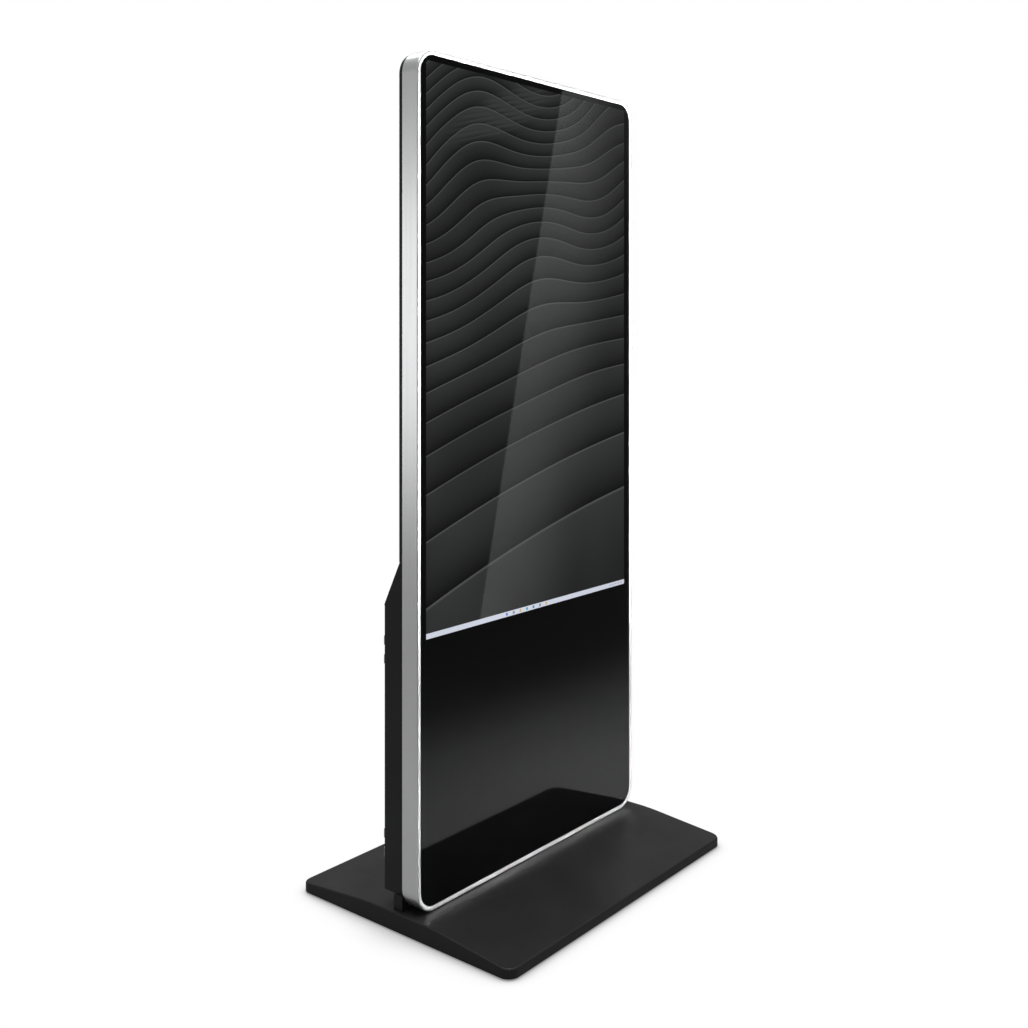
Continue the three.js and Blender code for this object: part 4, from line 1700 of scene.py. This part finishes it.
@dataclass(frozen=True)
class SoftBox:
    """One rectangular lamp: where it hangs, what it points at and which pieces it lights."""

    name: str
    place: tuple[float, float, float]
    target: tuple[float, float, float]
    size: Point2
    power: float
    mirrored: bool = True

    def hang(self, pieces: Iterable[bpy.types.Object] = ()) -> bpy.types.Object:
        """Hang the lamp.

        Args:
            pieces: the only pieces it lights, or none to light everything.

        Returns:
            The lamp.
        """
        data = bpy.data.lights.new(self.name, "AREA")
        data.shape = "RECTANGLE"
        data.size, data.size_y = self.size
        data.energy = self.power
        data.cycles.use_multiple_importance_sampling = self.mirrored
        lamp = bpy.data.objects.new(self.name, data)
        lamp.location = self.place
        aim = Vector(self.target) - Vector(self.place)
        lamp.rotation_euler = aim.to_track_quat("-Z", "Y").to_euler()
        lamp.visible_camera = False
        bpy.context.scene.collection.objects.link(lamp)
        chosen = list(pieces)
        if chosen:
            group = bpy.data.collections.new(f"{self.name}_receivers")
            for piece in chosen:
                group.objects.link(piece)
            lamp.light_linking.receiver_collection = group
        return lamp


@dataclass
class Studio:
    """Camera, lamps, pale floor and the dark board that the glass mirrors."""

    place: tuple[float, float, float] = (-2.18089, -1.76546, 1.24637)
    heading: float = -50.707
    lens: float = 41.89
    shift: float = -0.17322
    shadow_reach: float = 0.13
    floor_near: float = 0.065
    floor_mirrored: float = 0.29
    surround: float = 0.33
    board_distance: float = -0.7
    board_ends: Point2 = (-0.5, 2.2)
    board_height: float = 4.0
    board_base: float = 0.04
    board_glow: float = 0.30
    wedge_foot: Point2 = (0.554, 0.382)
    wedge_head: Point2 = (0.966, 2.041)
    wedge_fade: float = 0.52

    def build(self) -> None:
        """Build the whole set."""
        self._camera()
        self._world()
        self._floor()
        self._board()
        self._lights()

    def _camera(self) -> None:
        """Stand the camera level, with the view shifted down."""
        data = bpy.data.cameras.new("camera")
        data.lens = self.lens
        data.sensor_width = 36.0
        data.shift_y = self.shift
        data.clip_end = 200.0
        camera = bpy.data.objects.new("camera", data)
        camera.location = self.place
        camera.rotation_euler = (math.radians(90), 0.0, math.radians(self.heading))
        bpy.context.scene.collection.objects.link(camera)
        bpy.context.scene.camera = camera
        bpy.context.scene.view_settings.view_transform = "Standard"

    def _world(self) -> None:
        """Give a white backdrop and a softer grey surround for the lighting."""
        world = bpy.data.worlds.new("studio")
        world.use_nodes = True
        world.cycles.sampling_method = "NONE"
        bpy.context.scene.world = world
        world.node_tree.nodes.clear()
        wiring = Wiring(world.node_tree)
        seen = wiring.node("ShaderNodeLightPath").outputs["Is Camera Ray"]
        skies = []
        for strength in (1.0, self.surround):
            sky = wiring.node("ShaderNodeBackground")
            sky.inputs["Color"].default_value = (1, 1, 1, 1)
            sky.inputs["Strength"].default_value = strength
            skies.append(sky.outputs[0])
        white, soft = skies
        blend = wiring.mix_shaders(seen, soft, white)
        wiring.feed(wiring.node("ShaderNodeOutputWorld").inputs[0], blend)

    def _floor(self) -> None:
        """Lay a pale floor with a painted soft contact shadow, which mirrors see dimly."""
        shape = bmesh.new()
        bmesh.ops.create_grid(shape, x_segments=24, y_segments=24, size=30.0)
        floor = as_object("floor", shape)
        material, wiring = bare_material("pale_floor")
        _, axes = wiring.object_axes()
        # Painted contact shadow: camera rays see only emission, dimmed where ambient occlusion
        # finds the kiosk close.
        touch = wiring.node("ShaderNodeAmbientOcclusion", samples=12)
        touch.inputs["Distance"].default_value = self.shadow_reach
        light = wiring.node("ShaderNodeEmission")
        shadow = wiring.span(touch.outputs["AO"], 0.25, 0.985, 0.3, 1.01)
        wiring.feed(light.inputs["Strength"], shadow)
        # Painted reflection: other rays see a dim grey, darker further before the kiosk and towards
        # +X, which sets the gradient mirrored in the lower glass.
        dim = wiring.node("ShaderNodeBsdfDiffuse")
        shade = wiring.span(axes[1], -1.15, -0.3, self.floor_near, self.floor_mirrored)
        shade = wiring.math("MULTIPLY", shade, wiring.span(axes[0], 0.3, 1.6, 1.15, 0.75))
        grey = wiring.node("ShaderNodeCombineColor")
        for socket in grey.inputs[:3]:
            wiring.feed(socket, shade)
        wiring.feed(dim.inputs["Color"], grey.outputs[0])
        seen = wiring.node("ShaderNodeLightPath").outputs["Is Camera Ray"]
        blend = wiring.mix_shaders(seen, dim.outputs[0], light.outputs[0])
        wiring.feed(wiring.node("ShaderNodeOutputMaterial").inputs[0], blend)
        dress(floor, material)
        floor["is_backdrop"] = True

    def _board(self) -> None:
        """Stand a dark board before the glass that only mirrors see, with one light wedge."""
        shape = bmesh.new()
        left, right = self.board_ends
        edge = ((left, 0.0), (right, 0.0), (right, self.board_height), (left, self.board_height))
        shape.faces.new([shape.verts.new((x, self.board_distance, z)) for x, z in edge])
        board = as_object("mirror_board", shape)
        material, wiring = bare_material("mirror_board")
        _, axes = wiring.object_axes()
        (foot_x, foot_z), (head_x, head_z) = self.wedge_foot, self.wedge_head
        lean = (head_x - foot_x) / (head_z - foot_z)
        start = wiring.math("MULTIPLY_ADD", axes[2], lean, foot_x - foot_z * lean)
        line = wiring.math("SUBTRACT", axes[0], start)
        inside = wiring.math("GREATER_THAN", line, 0.0)
        fade = wiring.span(line, 0.0, self.wedge_fade, 1.0, 0.0)
        above = wiring.math("GREATER_THAN", axes[2], 0.374)
        wedge = wiring.math("MULTIPLY", inside, fade)
        glow = wiring.math("MULTIPLY", wedge, wiring.math("MULTIPLY", above, self.board_glow))
        light = wiring.node("ShaderNodeEmission")
        wiring.feed(light.inputs["Strength"], wiring.math("ADD", glow, self.board_base))
        clear = wiring.node("ShaderNodeBsdfTransparent")
        risen = wiring.span(axes[2], 0.0, 0.38, 0.0, 1.0)
        blend = wiring.mix_shaders(risen, clear.outputs[0], light.outputs[0])
        wiring.feed(wiring.node("ShaderNodeOutputMaterial").inputs[0], blend)
        dress(board, material)
        for ray in ("camera", "diffuse", "shadow", "volume_scatter"):
            setattr(board, f"visible_{ray}", False)
        board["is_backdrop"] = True

    @staticmethod
    def _lights() -> None:
        """Hang lamps over, beside, behind and before the kiosk, some for a few pieces only."""
        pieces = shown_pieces()
        off_foot = [item for item in pieces if item.name != "foot_cover"]
        behind = [item for item in off_foot if item.name != "frame_ring"]
        ring = [bpy.data.objects["frame_ring"]]
        middle = (0.0, 0.0, 0.9)
        SoftBox("key_over", (0.2, -0.2, 4.4), (0.0, 0.0, 0.0), (4.0, 4.0), 220.0).hang()
        strip = SoftBox("strip_left", (-3.3, 2.6, 1.28), (0.0, 0.0, 1.0), (1.3, 1.6), 9.7)
        strip.hang(off_foot)
        SoftBox("fill_front", (-2.6, -3.4, 1.9), middle, (1.8, 1.8), 2.5).hang()
        SoftBox("fill_back", (1.6, 4.0, 2.2), middle, (2.6, 2.2), 95.0).hang(behind)
        centre = SoftBox("rim_centre", (0.2, -4.2, 1.1), (0.0, 0.0, 1.0), (2.2, 2.2), 40.0)
        centre.hang(ring)
        SoftBox("rim_front", (2.6, -2.7, 0.9), middle, (2.6, 2.8), 150.0, False).hang(ring)
        low = SoftBox("rim_low", (1.9, -1.6, -1.0), (0.0, 0.0, 0.1), (1.6, 1.2), 5.5, False)
        lamp = low.hang(ring)
        lamp.light_linking.blocker_collection = lamp.light_linking.receiver_collection


def main() -> None:
    """Build the studio and every sub-assembly in order."""
    logging.basicConfig(level=logging.INFO, format="%(name)s: %(message)s")
    finishes = Finishes(Effects(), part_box("lcd_panel")[0][2] + PANEL_BORDER)
    for assembly in (
        DisplayStack(finishes),
        FrameRing(finishes),
        RearCover(finishes),
        LowerHousing(finishes),
        ServiceDoor(finishes),
        Connectors(finishes),
        EquipmentBay(finishes),
        Foot(finishes),
    ):
        assembly.build()
        LOG.info("%s built", type(assembly).__name__)
    Studio().build()


if __name__ == "__main__":
    main()
